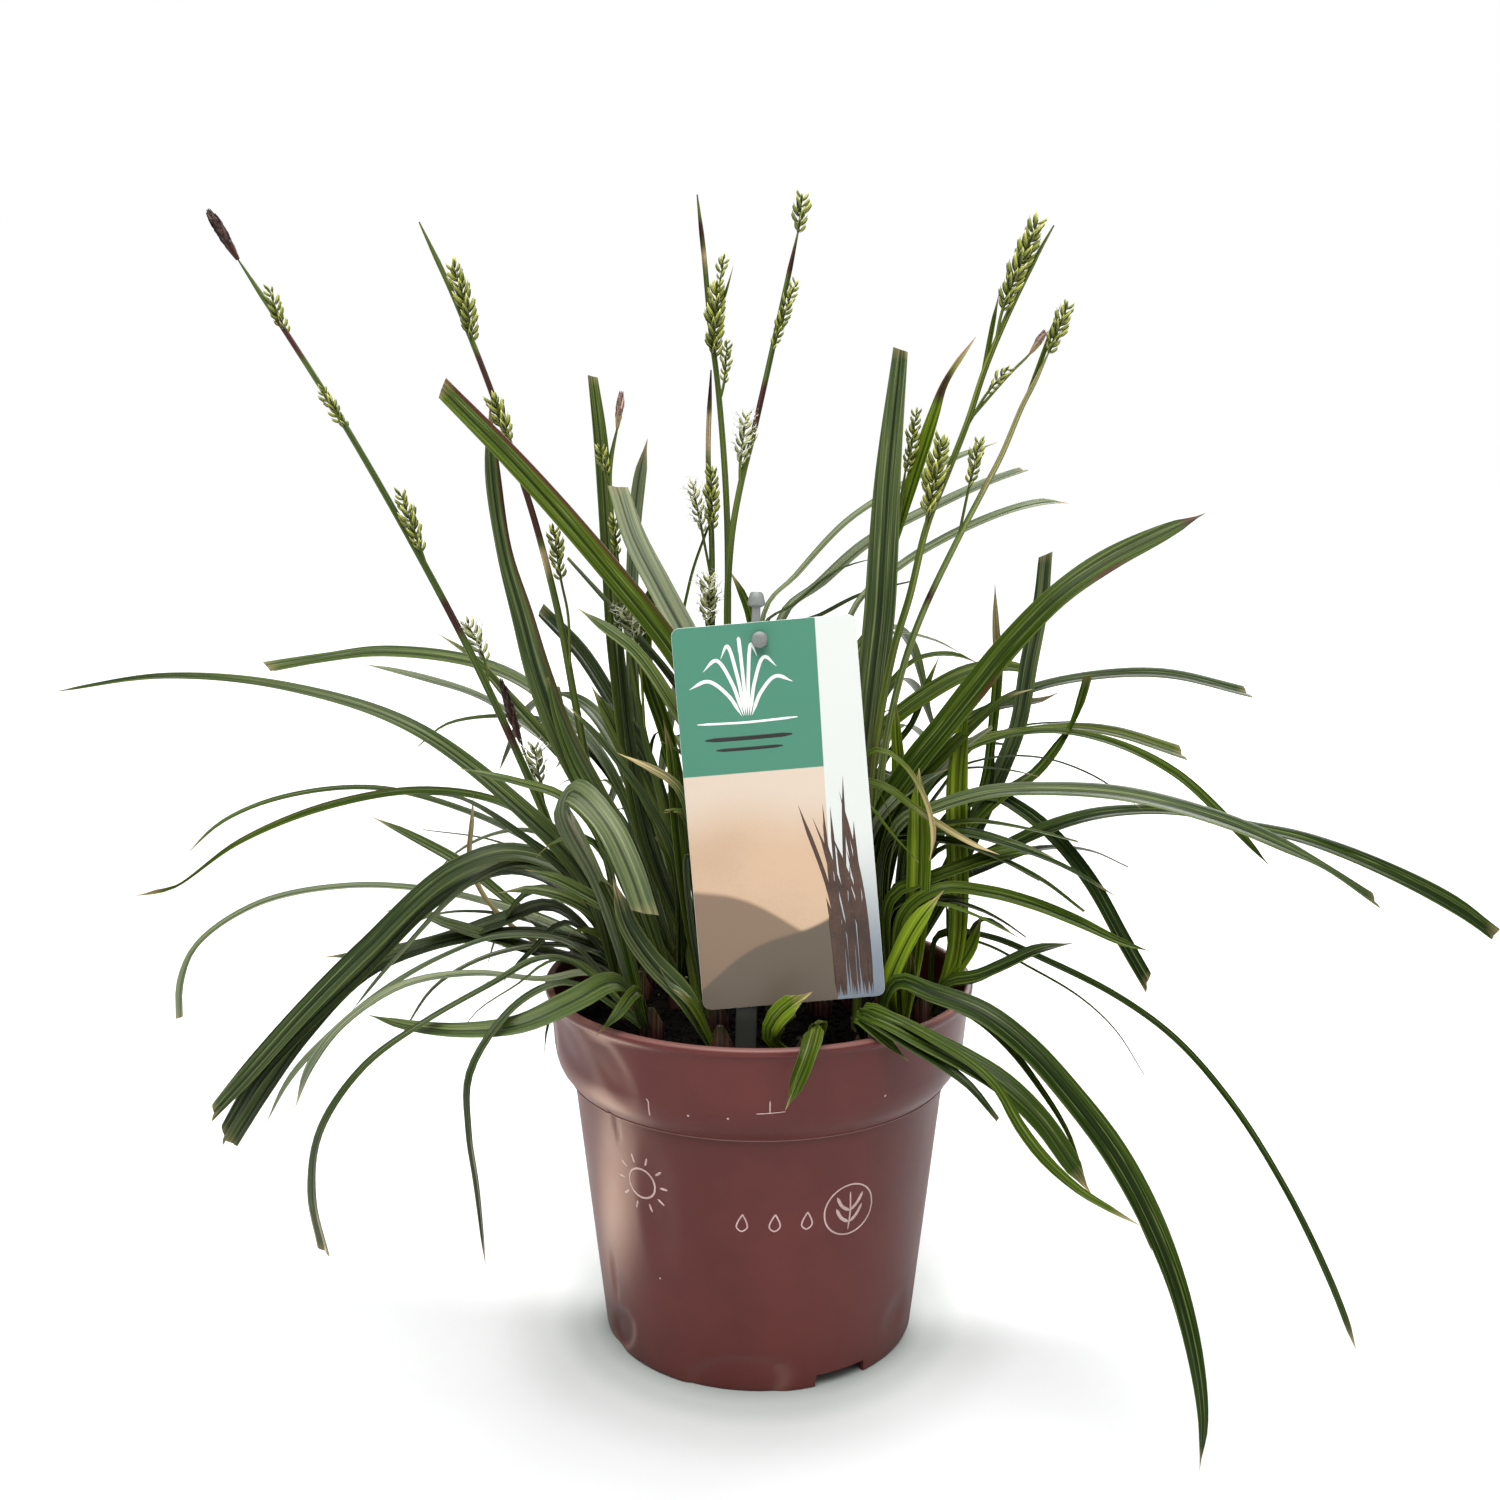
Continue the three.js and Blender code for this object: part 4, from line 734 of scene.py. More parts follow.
        ("tip", "fresh", 0.9, [(52, 130, -27, 7), (53, 150, -28, 8), (53, 170, -29, 7.5),
         (52, 190, -29, 2)]),
        ("tip", "leaf", 0.7, [(44, 146, -26, 4), (55, 152, -27, 4), (68, 157, -28, 4.5),
         (80, 161, -28, 4.5), (88, 162, -27, 3), (94, 159, -26, 0.8)]),
    ]),
    "right_low": (33, -44, [
        ("tip", "deep", 0.85, [(46, 117, -48, 5), (58, 113, -56, 6.5), (75, 106, -64, 7.5),
         (90, 94, -70, 8), (105, 77, -77, 8.5), (120, 57, -84, 9), (133, 34, -92, 8.5), (144, 8, -100, 7),
         (152, -20, -106, 5.5), (156, -44, -110, 3.5), (156, -63, -112, 0.8)]),
        ("tip", "deep", 0.85, [(36, 106, -56, 5), (44, 103, -63, 6.5), (55, 97, -68, 7.5), (68, 90, -73, 8),
         (82, 81, -79, 8), (96, 67, -85, 7.5), (107, 51, -90, 6), (114, 41, -94, 1)]),
        ("tip", "leaf", 0.7, [(36, 108, -55, 3), (46, 104, -62, 3), (60, 96, -72, 3), (72, 88, -78, 3),
         (80, 80, -83, 3), (88, 66, -88, 4), (97, 54, -94, 4), (109, 43, -98, 3), (120, 36, -100, 2.2),
         (131, 30, -102, 2)]),
    ]),
    "front_short": (14, -54, [
        ("tip", "leaf", 0.9, [(20, 104, -62, 5), (19, 99, -69, 6), (17, 92, -76, 6), (13, 81, -78, 5),
         (9, 72, -77, 0.8)]),
        ("tip", "fresh", 0.85, [(4, 98, -58, 5), (6, 104, -62, 7), (11, 109, -64, 7), (18, 114, -66, 1)]),
    ]),
}

# Shoots at the back: root, heading of the fan, then the shortest and longest reach and rise.
BACK_SHOOTS = {
    "back_a": (28, 51, 58, (45, 130), (45, 92)),
    "back_b": (13, 54, 73, (50, 150), (55, 112)),
    "back_c": (-1, 58, 89, (40, 140), (50, 98)),
    "back_d": (-15, 54, 105, (50, 150), (55, 108)),
    "back_e": (-29, 50, 120, (45, 125), (45, 88)),
}

# %% Flowering stems
# Root, points of the stem, spikes and bracts. A spike has its kind (f in fruit, w in white flower,
# m with pollen, p papery), its points from the stem out, the point where its scales begin, and its
# width.
CULMS = {
    "culm_a": (-47, 30,
        [(-58, 150, 20), (-68, 170, 11), (-75, 187, 4), (-85, 211, -2), (-95, 233, -3), (-110, 263, -4),
         (-130, 300, -4), (-145, 325, -3), (-160, 349, -2)], [
            ("m", [(-160, 349, -2), (-168, 363, -2)], 0, 4.4),
            ("f", [(-146, 327, -3), (-148, 331, -3), (-151, 340, -4)], 0, 3.4),
            ("f", [(-129, 298, -4), (-131, 301, -5), (-136, 310, -6)], 0, 3.2),
            ("f", [(-105, 253, -4), (-107, 260, -5), (-113, 278, -6)], 1, 4),
            ("w", [(-87, 215, -2), (-88, 225, 0), (-93, 237, 1)], 1, 4.2),
            ("w", [(-69, 173, 10), (-71, 184, 10), (-73, 197, 11)], 1, 4.2),
            ("m", [(-66, 166, 13), (-72, 184, 14), (-77, 198, 14), (-83, 219, 13)], 2, 4.0),
        ], []),
    "culm_b": (-26, 18,
        [(-44, 150, 16), (-54, 183, 15), (-59, 210, 13), (-64, 240, 11), (-71, 270, 9), (-78, 293, 8),
         (-85, 314, 5), (-95, 340, 4), (-104, 360, 3)], [
            ("f", [(-88, 325, 5), (-90, 333, 2), (-94, 347, 1)], 0, 4.6),
            ("f", [(-76, 288, 8), (-78, 294, 5), (-83, 307, 3)], 1, 4.4),
            ("f", [(-60, 220, 12), (-61, 240, 8), (-63, 251, 7), (-65, 267, 6)], 2, 4),
        ], []),
    "culm_c": (-20, -6,
        [(-30, 170, 0), (-38, 205, 3), (-43, 240, 5), (-46, 264, 5), (-47, 285, 5), (-44, 300, 5)], [
            ("p", [(-44, 298, 5), (-43, 309, 5)], 0, 3.2),
            ("f", [(-47, 278, 5), (-48, 284, 4), (-50, 292, 3)], 1, 3.2),
            ("f", [(-44, 250, 5), (-45, 259, 3), (-46, 270, 2)], 1, 3),
            ("w", [(-36, 200, 3), (-39, 230, 1), (-43, 241, 0)], 1, 4),
        ], []),
    "culm_d": (-6, 18,
        [(-10, 180, 14), (-10, 230, 12), (-10, 265, 10), (-11, 288, 8), (-13, 312, 8), (-15, 328, 8),
         (-17, 350, 8), (-19, 368, 8)], [
            ("f", [(-14, 320, 8), (-14, 326, 6), (-13, 341, 5)], 0, 4.8),
            ("f", [(-14, 324, 8), (-12, 343, 8), (-11, 349, 8)], 1, 3),
            ("f", [(-12, 306, 8), (-11, 312, 8), (-10, 324, 8)], 1, 2.8),
        ], [
            ("tip", "leaf", 0.8, [(-14, 326, 8, 1), (-10, 340, 9, 1), (-8, 347, 9, 0.8)]),
        ]),
    "culm_k": (-18, 30,
        [(-14, 180, 26), (-15, 220, 22), (-15, 262, 19), (-16, 290, 18), (-15, 316, 17)], [
            ("f", [(-15, 260, 19), (-15, 267, 16), (-15, 285, 15)], 1, 4),
            ("w", [(-15, 250, 20), (-18, 266, 18), (-21, 281, 17)], 1, 3.2),
            ("w", [(-15, 228, 21), (-16, 236, 18), (-16, 251, 17)], 1, 4.6),
        ], [
            ("tip", "leaf", 0.8, [(-15, 205, 23, 1), (-25, 225, 21, 1), (-22, 250, 21, 1),
             (-14, 273, 19, 0.8)]),
        ]),
    "culm_e": (4, -16,
        [(-4, 180, -12), (-10, 230, -8), (-9, 262, -7), (-6, 280, -6), (-2, 296, -5), (4, 322, -4),
         (8, 340, -3), (12, 358, -3)], [
            ("f", [(12, 357, -3), (13, 367, -3)], 0, 4),
            ("f", [(4, 322, -4), (6, 328, -4), (11, 342, -4)], 0, 3.2),
            ("w", [(-6, 280, -6), (-6, 287, -8), (-4, 302, -9)], 1, 3.5),
        ], [
            ("tip", "leaf", 0.8, [(-7, 277, -6, 1), (-4, 289, -5, 1), (0, 297, -4, 0.8)]),
        ]),
    "culm_h": (26, 14,
        [(32, 190, 4), (38, 235, 4), (43, 262, 3), (46, 286, 3)], [
            ("f", [(46, 285, 3), (47, 289, 3), (49, 303, 3)], 0, 3.4),
            ("w", [(33, 200, 4), (36, 214, 14), (36, 224, 20)], 1, 4),
        ], [
            ("tip wine", "fresh", 0.8, [(43, 262, 3, 2), (48, 280, 3, 4.2), (52, 293, 4, 4.6),
             (55, 303, 5, 3.6), (58, 312, 5, 2.2), (67, 326, 6, 1.6)]),
        ]),
    "culm_f": (31, -22,
        [(37, 190, -18), (43, 228, -17), (48, 246, -16), (53, 268, -14), (59, 284, -13), (65, 300, -12),
         (70, 316, -11), (76, 331, -10), (85, 350, -8), (90, 359, -8)], [
            ("f", [(73, 324, -11), (75, 334, -12), (85, 360, -12)], 1, 5),
            ("f", [(51, 262, -15), (53, 271, -16), (57, 294, -17)], 1, 5),
            ("f", [(64, 297, -12), (71, 309, -12), (77, 316, -12)], 1, 2.8),
            ("p", [(65, 300, -12), (78, 315, -9), (84, 321, -9), (88, 327, -9)], 2, 3.0),
        ], [
            ("tip", "leaf", 0.8, [(70, 316, -11, 1.6), (72, 328, -10, 1.6), (74, 340, -10, 0.8)]),
        ]),
    "culm_g": (38, 24,
        [(40, 190, 14), (46, 222, 12), (52, 240, 12), (62, 262, 12), (70, 278, 14), (76, 290, 15),
         (82, 305, 16), (86, 313, 16), (90, 322, 16)], [
            ("f", [(90, 321, 16), (95, 335, 16)], 0, 4.2),
            ("f", [(63, 264, 12), (66, 280, 10), (69, 294, 10)], 1, 3.6),
        ], [
            ("tip", "leaf", 0.8, [(84, 309, 16, 1.4), (90, 326, 18, 1.6), (93, 336, 18, 0.8)]),
        ]),
}
print("plan:", len(SHOOTS) + len(BACK_SHOOTS), "shoots and", len(CULMS), "flowering stems")

# %% [markdown]
# ## Blades
# A blade turns its face a little away from the front, so its true width is more than what shows. Its
# reach is the vector from the middle to one edge. Between the set points the reach is smoothed
# like the place is, so a blade twists gently, and the tip narrows to a point unless it was cut.

# %% One blade
LOOKS = {  # tone from deep to fresh green, and how pale: partly a real bloom, partly a painted sheen
    "deep": (0.12, 0.0),
    "leaf": (0.48, 0.0),
    "fresh": (0.95, 0.0),
    "olive": (0.66, 0.0),
    "pale": (0.30, 0.60),
    "sheen": (0.30, 0.78),
    "silver": (0.30, 0.68),
    "mist": (0.26, 0.44),
    "grey": (0.18, 0.25),
    "moss": (0.24, 0.0),
    "straw": (0.60, 0.20),
}
LEFT_PAINTED_SHEEN = 0.17  # blades that lean to the left are painted greyer: a painted sheen of light grazing from the left
LEFT_LEAN = 20.0  # mm from foot to tip that count as leaning
STEP = 3.5  # mm between the rings of a blade
BLADE_THICK = 0.09  # of its half width
BLADE_LIFT = 0.30
BLADE_RIDGE = 0.08
LEAST_HALF = 0.12
TAPER = 9.0  # mm over which an uncut tip narrows
FRESH_FOOT = 35.0  # mm over which the foot of a blade is fresher
chance = random.Random(4)


def seen_reaches(points, widths, face):
    """From the middle to the edge at each point, for a blade that shows the given widths."""
    side = math.copysign(1, points[-1].x - points[0].x) * math.copysign(1, face)
    turn = side * math.sqrt(1 - face * face) / abs(face)
    reaches = []
    for i, at in enumerate(points):
        ahead = points[min(i + 1, len(points) - 1)] - at
        behind = at - points[max(i - 1, 0)]
        along = (ahead.normalized() + behind.normalized()).normalized()
        across = along.cross((at - EYE).normalized()).normalized()
        reaches.append((across + across.cross(along) * turn) * widths[i] / 2)
    return reaches


def add_blade(paths, points, reaches, end, look, step=STEP):
    """One blade through set points. end is tip or cut, with brown for an old margin, singed for a
    spotted one and a rusty tip, sere for a straw-coloured end, wine for a papery end above a dark red
    band, or dry for a blade that is straw all over."""
    run, reach = smooth_run(points, reaches, step)
    along = unit_rows(np.gradient(run, axis=0))
    reach -= along * np.sum(reach * along, axis=1)[:, None]
    half = np.maximum(np.linalg.norm(reach, axis=1), LEAST_HALF)
    steps = distance_along(run)
    length = steps[-1]
    left = length - steps

    def near_tip(start, reach_down):
        """A stain at the tip that is gone at start times reach_down below it."""
        return np.clip(start - left / reach_down, 0, 1)

    tone, pale = LOOKS[look]
    # painted sheen: blades that lean left are made paler
    if points[-1].x < points[0].x - LEFT_LEAN and "brown" not in end:
        pale += LEFT_PAINTED_SHEEN * (1 - pale)
    tone = min(1.0, max(0.0, tone + chance.uniform(-0.08, 0.08)))
    near_root = np.clip(1 - steps / FRESH_FOOT, 0, 1)
    slant = np.zeros((len(run), 3))
    edge, wine = 0.0, 0.0
    if "cut" in end:
        slant[-1] = along[-1] * half[-1] * chance.choice((-0.5, -0.3, 0.3, 0.5))
        dry = 0.3 * near_tip(1, 0.8)
    else:
        half *= np.clip(0.08 + left / TAPER, 0.08, 1)
        dry = near_tip(1, chance.uniform(2.5, 9))
    if "singed" in end:
        edge = np.exp(-((left - 36) / 6) ** 2) + 0.8 * np.exp(-((left - 88) / 5) ** 2)
        wine = np.clip((9 - left) / 3, 0, 0.8)
    if "brown" in end:
        edge = near_tip(1.3, 0.55 * length)
        if "tip" in end:
            dry = near_tip(1.3, 9)
    if "wine" in end:
        dry = near_tip(1.3, 0.19 * length)
        wine = np.clip(1.6 - np.abs(left / length - 0.26) / 0.06, 0, 0.9)
    if "sere" in end:
        dry = near_tip(1.2, 0.2 * length)
    if "dry" in end:
        dry = near_tip(1.2, 0.85 * length)
    paths.add(
        run, half=half, thick=BLADE_THICK, lift=BLADE_LIFT, ridge=BLADE_RIDGE,
        up=unit_rows(np.cross(along, reach)), slant=slant, dry=dry, edge=edge, wine=wine,
        tone=np.clip(tone + 0.45 * near_root * (1 - tone), 0, 1), pale=pale, seed=chance.random(),
    )


print("looks:", ", ".join(LOOKS))

# %% Sheaths and younger leaves
SOIL_Z = 110.0
HOLE_DEPTH = 14.0
FOOT_Z = SOIL_Z - HOLE_DEPTH + 1.5  # just above the bottom of its hole
STUB_R = 4.2
STUB_TOP = 9.0
STUB_SHOULDER = 3.0  # where the sheath starts to narrow, above the soil
SWING = 16.0  # degrees that a younger leaf may stand aside


def add_sheath(paths, x, y):
    """The sheathed base of a shoot: dark red at the soil and drawn in round the lowest blades."""
    heights = np.linspace(FOOT_Z, SOIL_Z + STUB_TOP, 12)
    above = np.clip((heights - SOIL_Z - STUB_SHOULDER) / (STUB_TOP - STUB_SHOULDER), 0, 1)
    paths.add(
        [(x, y, z) for z in heights], half=STUB_R * (1 - 0.75 * above), thick=1.0, up=(0, -1, 0),
        tone=0.15 * above, wine=1 - 0.6 * above, seed=chance.random(),
    )


def add_younger(paths, points, reaches, root, rand):
    """A younger or older leaf beside a set one: shorter, narrower and swung a little round the root."""
    keep = max(3, round(len(points) * rand.uniform(0.55, 0.85)))
    swing = Matrix.Rotation(math.radians(rand.uniform(-SWING, SWING)), 3, "Z")
    size = rand.uniform(0.55, 0.92)
    narrow = rand.uniform(0.45, 0.8)
    moved, edges = [], []
    for i in range(keep):
        part = i / (keep - 1)
        moved.append(root + swing @ (points[i] - root) * (1 - (1 - size) * part))
        edges.append(swing @ reaches[i] * narrow * min(1, 1.25 - part))
    look = rand.choice(("deep", "deep", "leaf", "leaf", "pale"))
    add_blade(paths, moved, edges, rand.choice(("tip", "tip", "cut")), look)


print("sheaths stand", STUB_TOP, "mm out of the soil")

# %% [markdown]
# ## Growing the shoots
# Each CAD shoot is one node, so each becomes one piece that stands for it. Its blades start together
# in a sheathed base that is sunk in the soil, as a sedge's fans of leaves do. The blades at the back
# follow a rule: each stands in its own upright plane, rises, arches over and droops.

# %% Shoots of the front and sides
def own(piece, slot, *nodes):
    """Puts a finished piece on the root body and hides its CAD nodes. The slot is not used."""
    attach(piece, "root")
    if nodes:
        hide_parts(*nodes)
    return piece


LEAF_SECTION = 16  # points round the section of a leaf


def grow_shoot(name, x, y, blades, younger, rand):
    """A shoot from its blades (points, reaches, end, look), with younger leaves that fill the tuft."""
    paths = Paths()
    add_sheath(paths, x, y)
    for blade in blades:
        add_blade(paths, *blade)
    for k in range(younger):
        points, reaches, _, _ = blades[k % len(blades)]
        add_younger(paths, points, reaches, Vector((x, y, SOIL_Z)), rand)
    piece = swept_piece("shoot_" + name + "_leaves", paths, LEAF_SECTION, SEDGE_GREEN)
    return own(piece, "leaf", "shoot_" + name)


YOUNGER_PER_SHOOT = 5
FOOT_W = 2.4  # widest foot of a blade
FOOT_LEAN = 2.0  # how far from the middle of the sheath a blade may start
young = random.Random(8)
pieces = []
for name, (x, y, rows_of_blades) in SHOOTS.items():
    blades = []
    for i, (end, look, face, rows) in enumerate(rows_of_blades):
        first = place(*rows[0][:3])
        lean = Vector((first.x - x, first.y - y, 0))
        lean *= min(1, FOOT_LEAN / max(lean.length, 0.01))
        foot = Vector((x, y, SOIL_Z + 1 + 0.5 * i)) + lean
        points = [foot] + [place(*row[:3]) for row in rows]
        widths = [min(FOOT_W, rows[0][3])] + [true_width(row) for row in rows]
        blades.append((points, seen_reaches(points, widths, face), end, look))
    pieces.append(grow_shoot(name, x, y, blades, YOUNGER_PER_SHOOT, young))
print("front shoots:", len(pieces), "pieces,", sum(triangles(piece) for piece in pieces), "triangles")

# %% Shoots of the back
BACK_FAN = 16.0  # degrees between the outer blades of a shoot
BACK_BLADES = 4
WORD = 0xFFFFFFFF  # 32 bits


def even_run(seed):
    """A seeded run of numbers from 0 to 1, the same run that sets the frame's back shoots."""
    state = seed
    while True:
        state = (state + 0x6D2B79F5) & WORD
        t = ((state ^ (state >> 15)) * (1 | state)) & WORD
        t = ((t + ((t ^ (t >> 7)) * (61 | t) & WORD)) & WORD) ^ t
        yield (t ^ (t >> 14)) / 2**32


BACK_LOOKS = ("leaf", "deep", "pale", "deep")
YOUNGER_PER_BACK_SHOOT = 6
young = random.Random(31)
pieces = []
for n, (name, (x, y, heading, reaches, rises)) in enumerate(BACK_SHOOTS.items()):
    run = even_run(17 + n)
    blades = []
    for i in range(BACK_BLADES):
        u = i / (BACK_BLADES - 1)
        aside = (1 if n % 2 == 0 else -1) * (u - 0.5)
        angle = math.radians(heading + BACK_FAN * aside)
        out = Vector((math.cos(angle), math.sin(angle), 0))
        flat = Vector((-out.y, out.x, 0))
        reach = reaches[0] + (reaches[1] - reaches[0]) * u
        rise = rises[0] + (rises[1] - rises[0]) * u
        wide = 5.5 + 2.5 * next(run)
        droop = 0.45 + 0.3 * next(run)
        root = Vector((x, y, SOIL_Z + 1)) + out + flat * 5 * aside
        points = [root]
        for s, z in ((0.12, 0.5), (0.34, 0.9), (0.56, 1), (0.78, 0.9), (1, droop)):
            point = root + out * reach * s
            point.z = SOIL_Z + rise * z
            points.append(point)
        edges = [flat * w / 2 for w in (2, 0.8 * wide, wide, 0.95 * wide, 0.7 * wide, 0.8)]
        blades.append((points, edges, "tip", BACK_LOOKS[(i + n) % len(BACK_LOOKS)]))
    pieces.append(grow_shoot(name, x, y, blades, YOUNGER_PER_BACK_SHOOT, young))
print("back shoots:", len(pieces), "pieces,", sum(triangles(piece) for piece in pieces), "triangles")

# %% [markdown]
# ## Flowering stems
# A sedge flowers on thin upright stems. Short spikes stand along them: the lower ones carry small
# pointed fruits behind dark-backed scales, set round a thin axis in a loose plait, some still with
# curly white stigmas. The slim brown ones shed pollen. Each spike is one axis, and a Geometry Nodes
# tree places the same small scale on it again and again, each turned a little over a third of a turn.

# %% Scale finish
FLOWERING, FRUIT, SCALE, STIGMA, POLLEN, PAPERY = -1, 0, 1, 2, 3, 4  # what the attribute part says


def scale_material():
    material, tree, shader = new_material("sedge_scales")
    part = attribute(tree, "part")
    reach = attribute(tree, "reach")
    shade = attribute(tree, "shade")
    fruit = ramp(tree, reach, [
        (0.0, rgb(0.08, 0.10, 0.01)), (0.55, rgb(0.28, 0.31, 0.05)), (1.0, rgb(0.56, 0.54, 0.22)),
    ])
    flowering = tree.times(step_up(tree, part, -0.4, -0.6), 0.45)
    colour = mixed(tree, flowering, fruit, rgb(0.62, 0.63, 0.42))
    margin = step_up(tree, tree.math("ABSOLUTE", attribute(tree, "fold")), 0.35, 0.75)
    for code, back, edge in (
        (SCALE, rgb(0.028, 0.036, 0.006), rgb(0.20, 0.22, 0.06)),
        (STIGMA, rgb(0.90, 0.89, 0.82), rgb(0.90, 0.89, 0.82)),
        (POLLEN, rgb(0.022, 0.009, 0.008), rgb(0.075, 0.040, 0.030)),
        (PAPERY, rgb(0.17, 0.095, 0.080), rgb(0.42, 0.29, 0.25)),
    ):
        is_part = step_up(tree, part, code - 0.6, code - 0.4)
        colour = mixed(tree, is_part, colour, mixed(tree, margin, back, edge))
    tint = ramp(tree, shade, [(0.0, rgb(0.55, 0.60, 0.5)), (1.0, rgb(1.3, 1.25, 1.2))])
    colour = mixed(tree, 0.85, colour, tint, "MULTIPLY")
    tree.wire(shader, {"Base Color": colour, "Roughness": 0.45, "Specular IOR Level": 0.25})
    return material


SEDGE_SCALES = scale_material()
print("finish:", SEDGE_SCALES.name)

# %% One scale
class Facets:
    """Vertices and faces of a small shape, with the values that its finish reads."""

    def __init__(self):
        self.points, self.faces, self.part, self.reach, self.fold = [], [], [], [], []

    def ring_body(self, rings, part, folds=None):
        """Closed rings of equal size, joined in order, capped at both ends."""
        n = len(rings[0])
        for k in range(len(rings)):
            self.part += [part] * n
            self.reach += [k / (len(rings) - 1)] * n
            self.fold += folds or [0.0] * n
        add_stack(self.points, self.faces, rings)

    def object(self, name):
        made = bpy.data.meshes.new(name)
        made.from_pydata(self.points, [], self.faces)
        for key in ("part", "reach", "fold"):
            carry(made, key, getattr(self, key))
        made.polygons.foreach_set("use_smooth", [True] * len(made.polygons))
        return link_object(bpy.data.objects.new(name, made))


def leaning(base, tip, bow):
    """A gently bowed line from base to tip in the upright plane of +X."""
    base, tip = Vector(base), Vector(tip)
    outward = Vector((tip.z - base.z, 0, base.x - tip.x)).normalized() * bow
    return lambda t: base.lerp(tip, t) + outward * math.sin(math.pi * t)


THREAD_SECTION = ((1, 0), (-0.5, 0.87), (-0.5, -0.87))
THREADS = ((0.9, 0.5), (-0.8, 0.9), (0.2, -0.8), (-1.3, -0.1), (1.5, -0.5))


THREAD_R = 0.027
THREAD_REACH = 0.56
FRUIT_RINGS = ((0, 0.05), (0.25, 0.12), (0.5, 0.135), (0.75, 0.10), (0.92, 0.045), (1.08, 0.012))
WING_RINGS = ((0, 0.05), (0.25, 0.10), (0.5, 0.115), (0.8, 0.07), (1.0, 0.012))
WING_FOLDS = [-1.0, 0.0, 1.0, 0.0]
WING_THICK = 0.02


def add_wing(made, base, tip, wide, part):
    """A folded scale from base to tip. Its rings are listed as place along it and half width."""
    line = leaning(base, tip, 0.07)
    rings = []
    for t, w in WING_RINGS:
        at = line(t)
        w *= wide
        rings.append([
            (at.x - 0.30 * w, -w, at.z), (at.x + 0.30 * w + WING_THICK, 0, at.z),
            (at.x - 0.30 * w, w, at.z), (at.x + 0.30 * w - WING_THICK, 0, at.z),
        ])
    made.ring_body(rings, part, WING_FOLDS)


def fruit_unit(name, stigmas):
    """One fruit behind its scale, for a spike that is 1 wide with its axis on Z."""
    made = Facets()
    line = leaning((0.04, 0, 0), (0.46, 0, 0.60), 0.05)
    spots = [(line(t), r) for t, r in FRUIT_RINGS]
    rings = [[(at.x + 0.8 * c, s, at.z) for c, s in circle(r, 6)] for at, r in spots]
    made.ring_body(rings, FLOWERING if stigmas else FRUIT)
    add_wing(made, (0.09, 0, -0.04), (0.50, 0, 0.47), 1.0, SCALE)
    for k, (bend, swing) in enumerate(THREADS if stigmas else ()):
        rings = []
        for s in (0, 0.25, 0.5, 0.75, 1):
            out = THREAD_REACH * s
            x, y = out * math.cos(bend * s * 1.6), out * math.sin(bend * s * 2.2 + k)
            at = line(1.0) + Vector((x, y, 0.30 * s + 0.14 * swing * s * s))
            r = THREAD_R * (1 - 0.4 * s)
            rings.append([(at.x + r * c, at.y + r * d, at.z - 0.3 * r * c) for c, d in THREAD_SECTION])
        made.ring_body(rings, STIGMA)
    return made.object(name)


def bare_unit(name, part):
    """One broad scale of a spike that has no fruits."""
    made = Facets()
    add_wing(made, (0.09, 0, -0.04), (0.19, 0, 0.94), 1.9, part)
    return made.object(name)


SCALE_UNITS = {
    "f": fruit_unit("scale_plain", False),
    "w": fruit_unit("scale_stigmas", True),
    "m": bare_unit("scale_pollen", POLLEN),
    "p": bare_unit("scale_papery", PAPERY),
}
print("scale:", {key: triangles(unit) for key, unit in SCALE_UNITS.items()})

# %% The spike tree
def spike_tree():
    """Scales on a path, each turned by Turn from the last, as large as the path's half says."""
    inputs = [
        ("Axis", "Geometry"), ("Scale", "Object"), ("Pitch", "Float", 0.001), ("Turn", "Float", 2.3),
        ("Seed", "Int", 3), ("Finish", "Material"),
    ]
    group, tree, given = new_group("spike", "GeometryNodeTree", inputs, [("Spikes", "Geometry")])
    axis, scale, pitch, turn, seed, finish = given[:6]

    def drawn(low, high, more):
        return tree.random(low, high, tree.math("ADD", seed, more))

    curves = tree.add("GeometryNodeMeshToCurve", {0: axis}).outputs[0]
    spots = tree.add("GeometryNodeCurveToPoints", {"Curve": curves, "Length": pitch}, mode="LENGTH")
    angle = tree.times(tree.add("GeometryNodeInputIndex").outputs[0], turn)
    angle = tree.math("ADD", angle, drawn(-0.25, 0.25, 1.0))
    upright = tree.add("FunctionNodeAlignRotationToVector", {"Vector": spots.outputs["Tangent"]}, axis="Z")
    spin = tree.add("FunctionNodeAxisAngleToRotation", {"Axis": (0, 0, 1), "Angle": angle})
    sockets = {0: upright.outputs[0], 1: spin.outputs[0]}
    faced = tree.add("FunctionNodeRotateRotation", sockets, rotation_space="LOCAL").outputs[0]
    size = tree.times(tree.carried("half"), 2.0)
    size = tree.times(size, drawn(0.88, 1.12, 2.0))
    tree.finish(tree.strewn(spots.outputs[0], scale, faced, size, drawn(0.0, 1.0, 3.0)), finish)
    return group


SPIKE = spike_tree()
print("tree:", SPIKE.name)

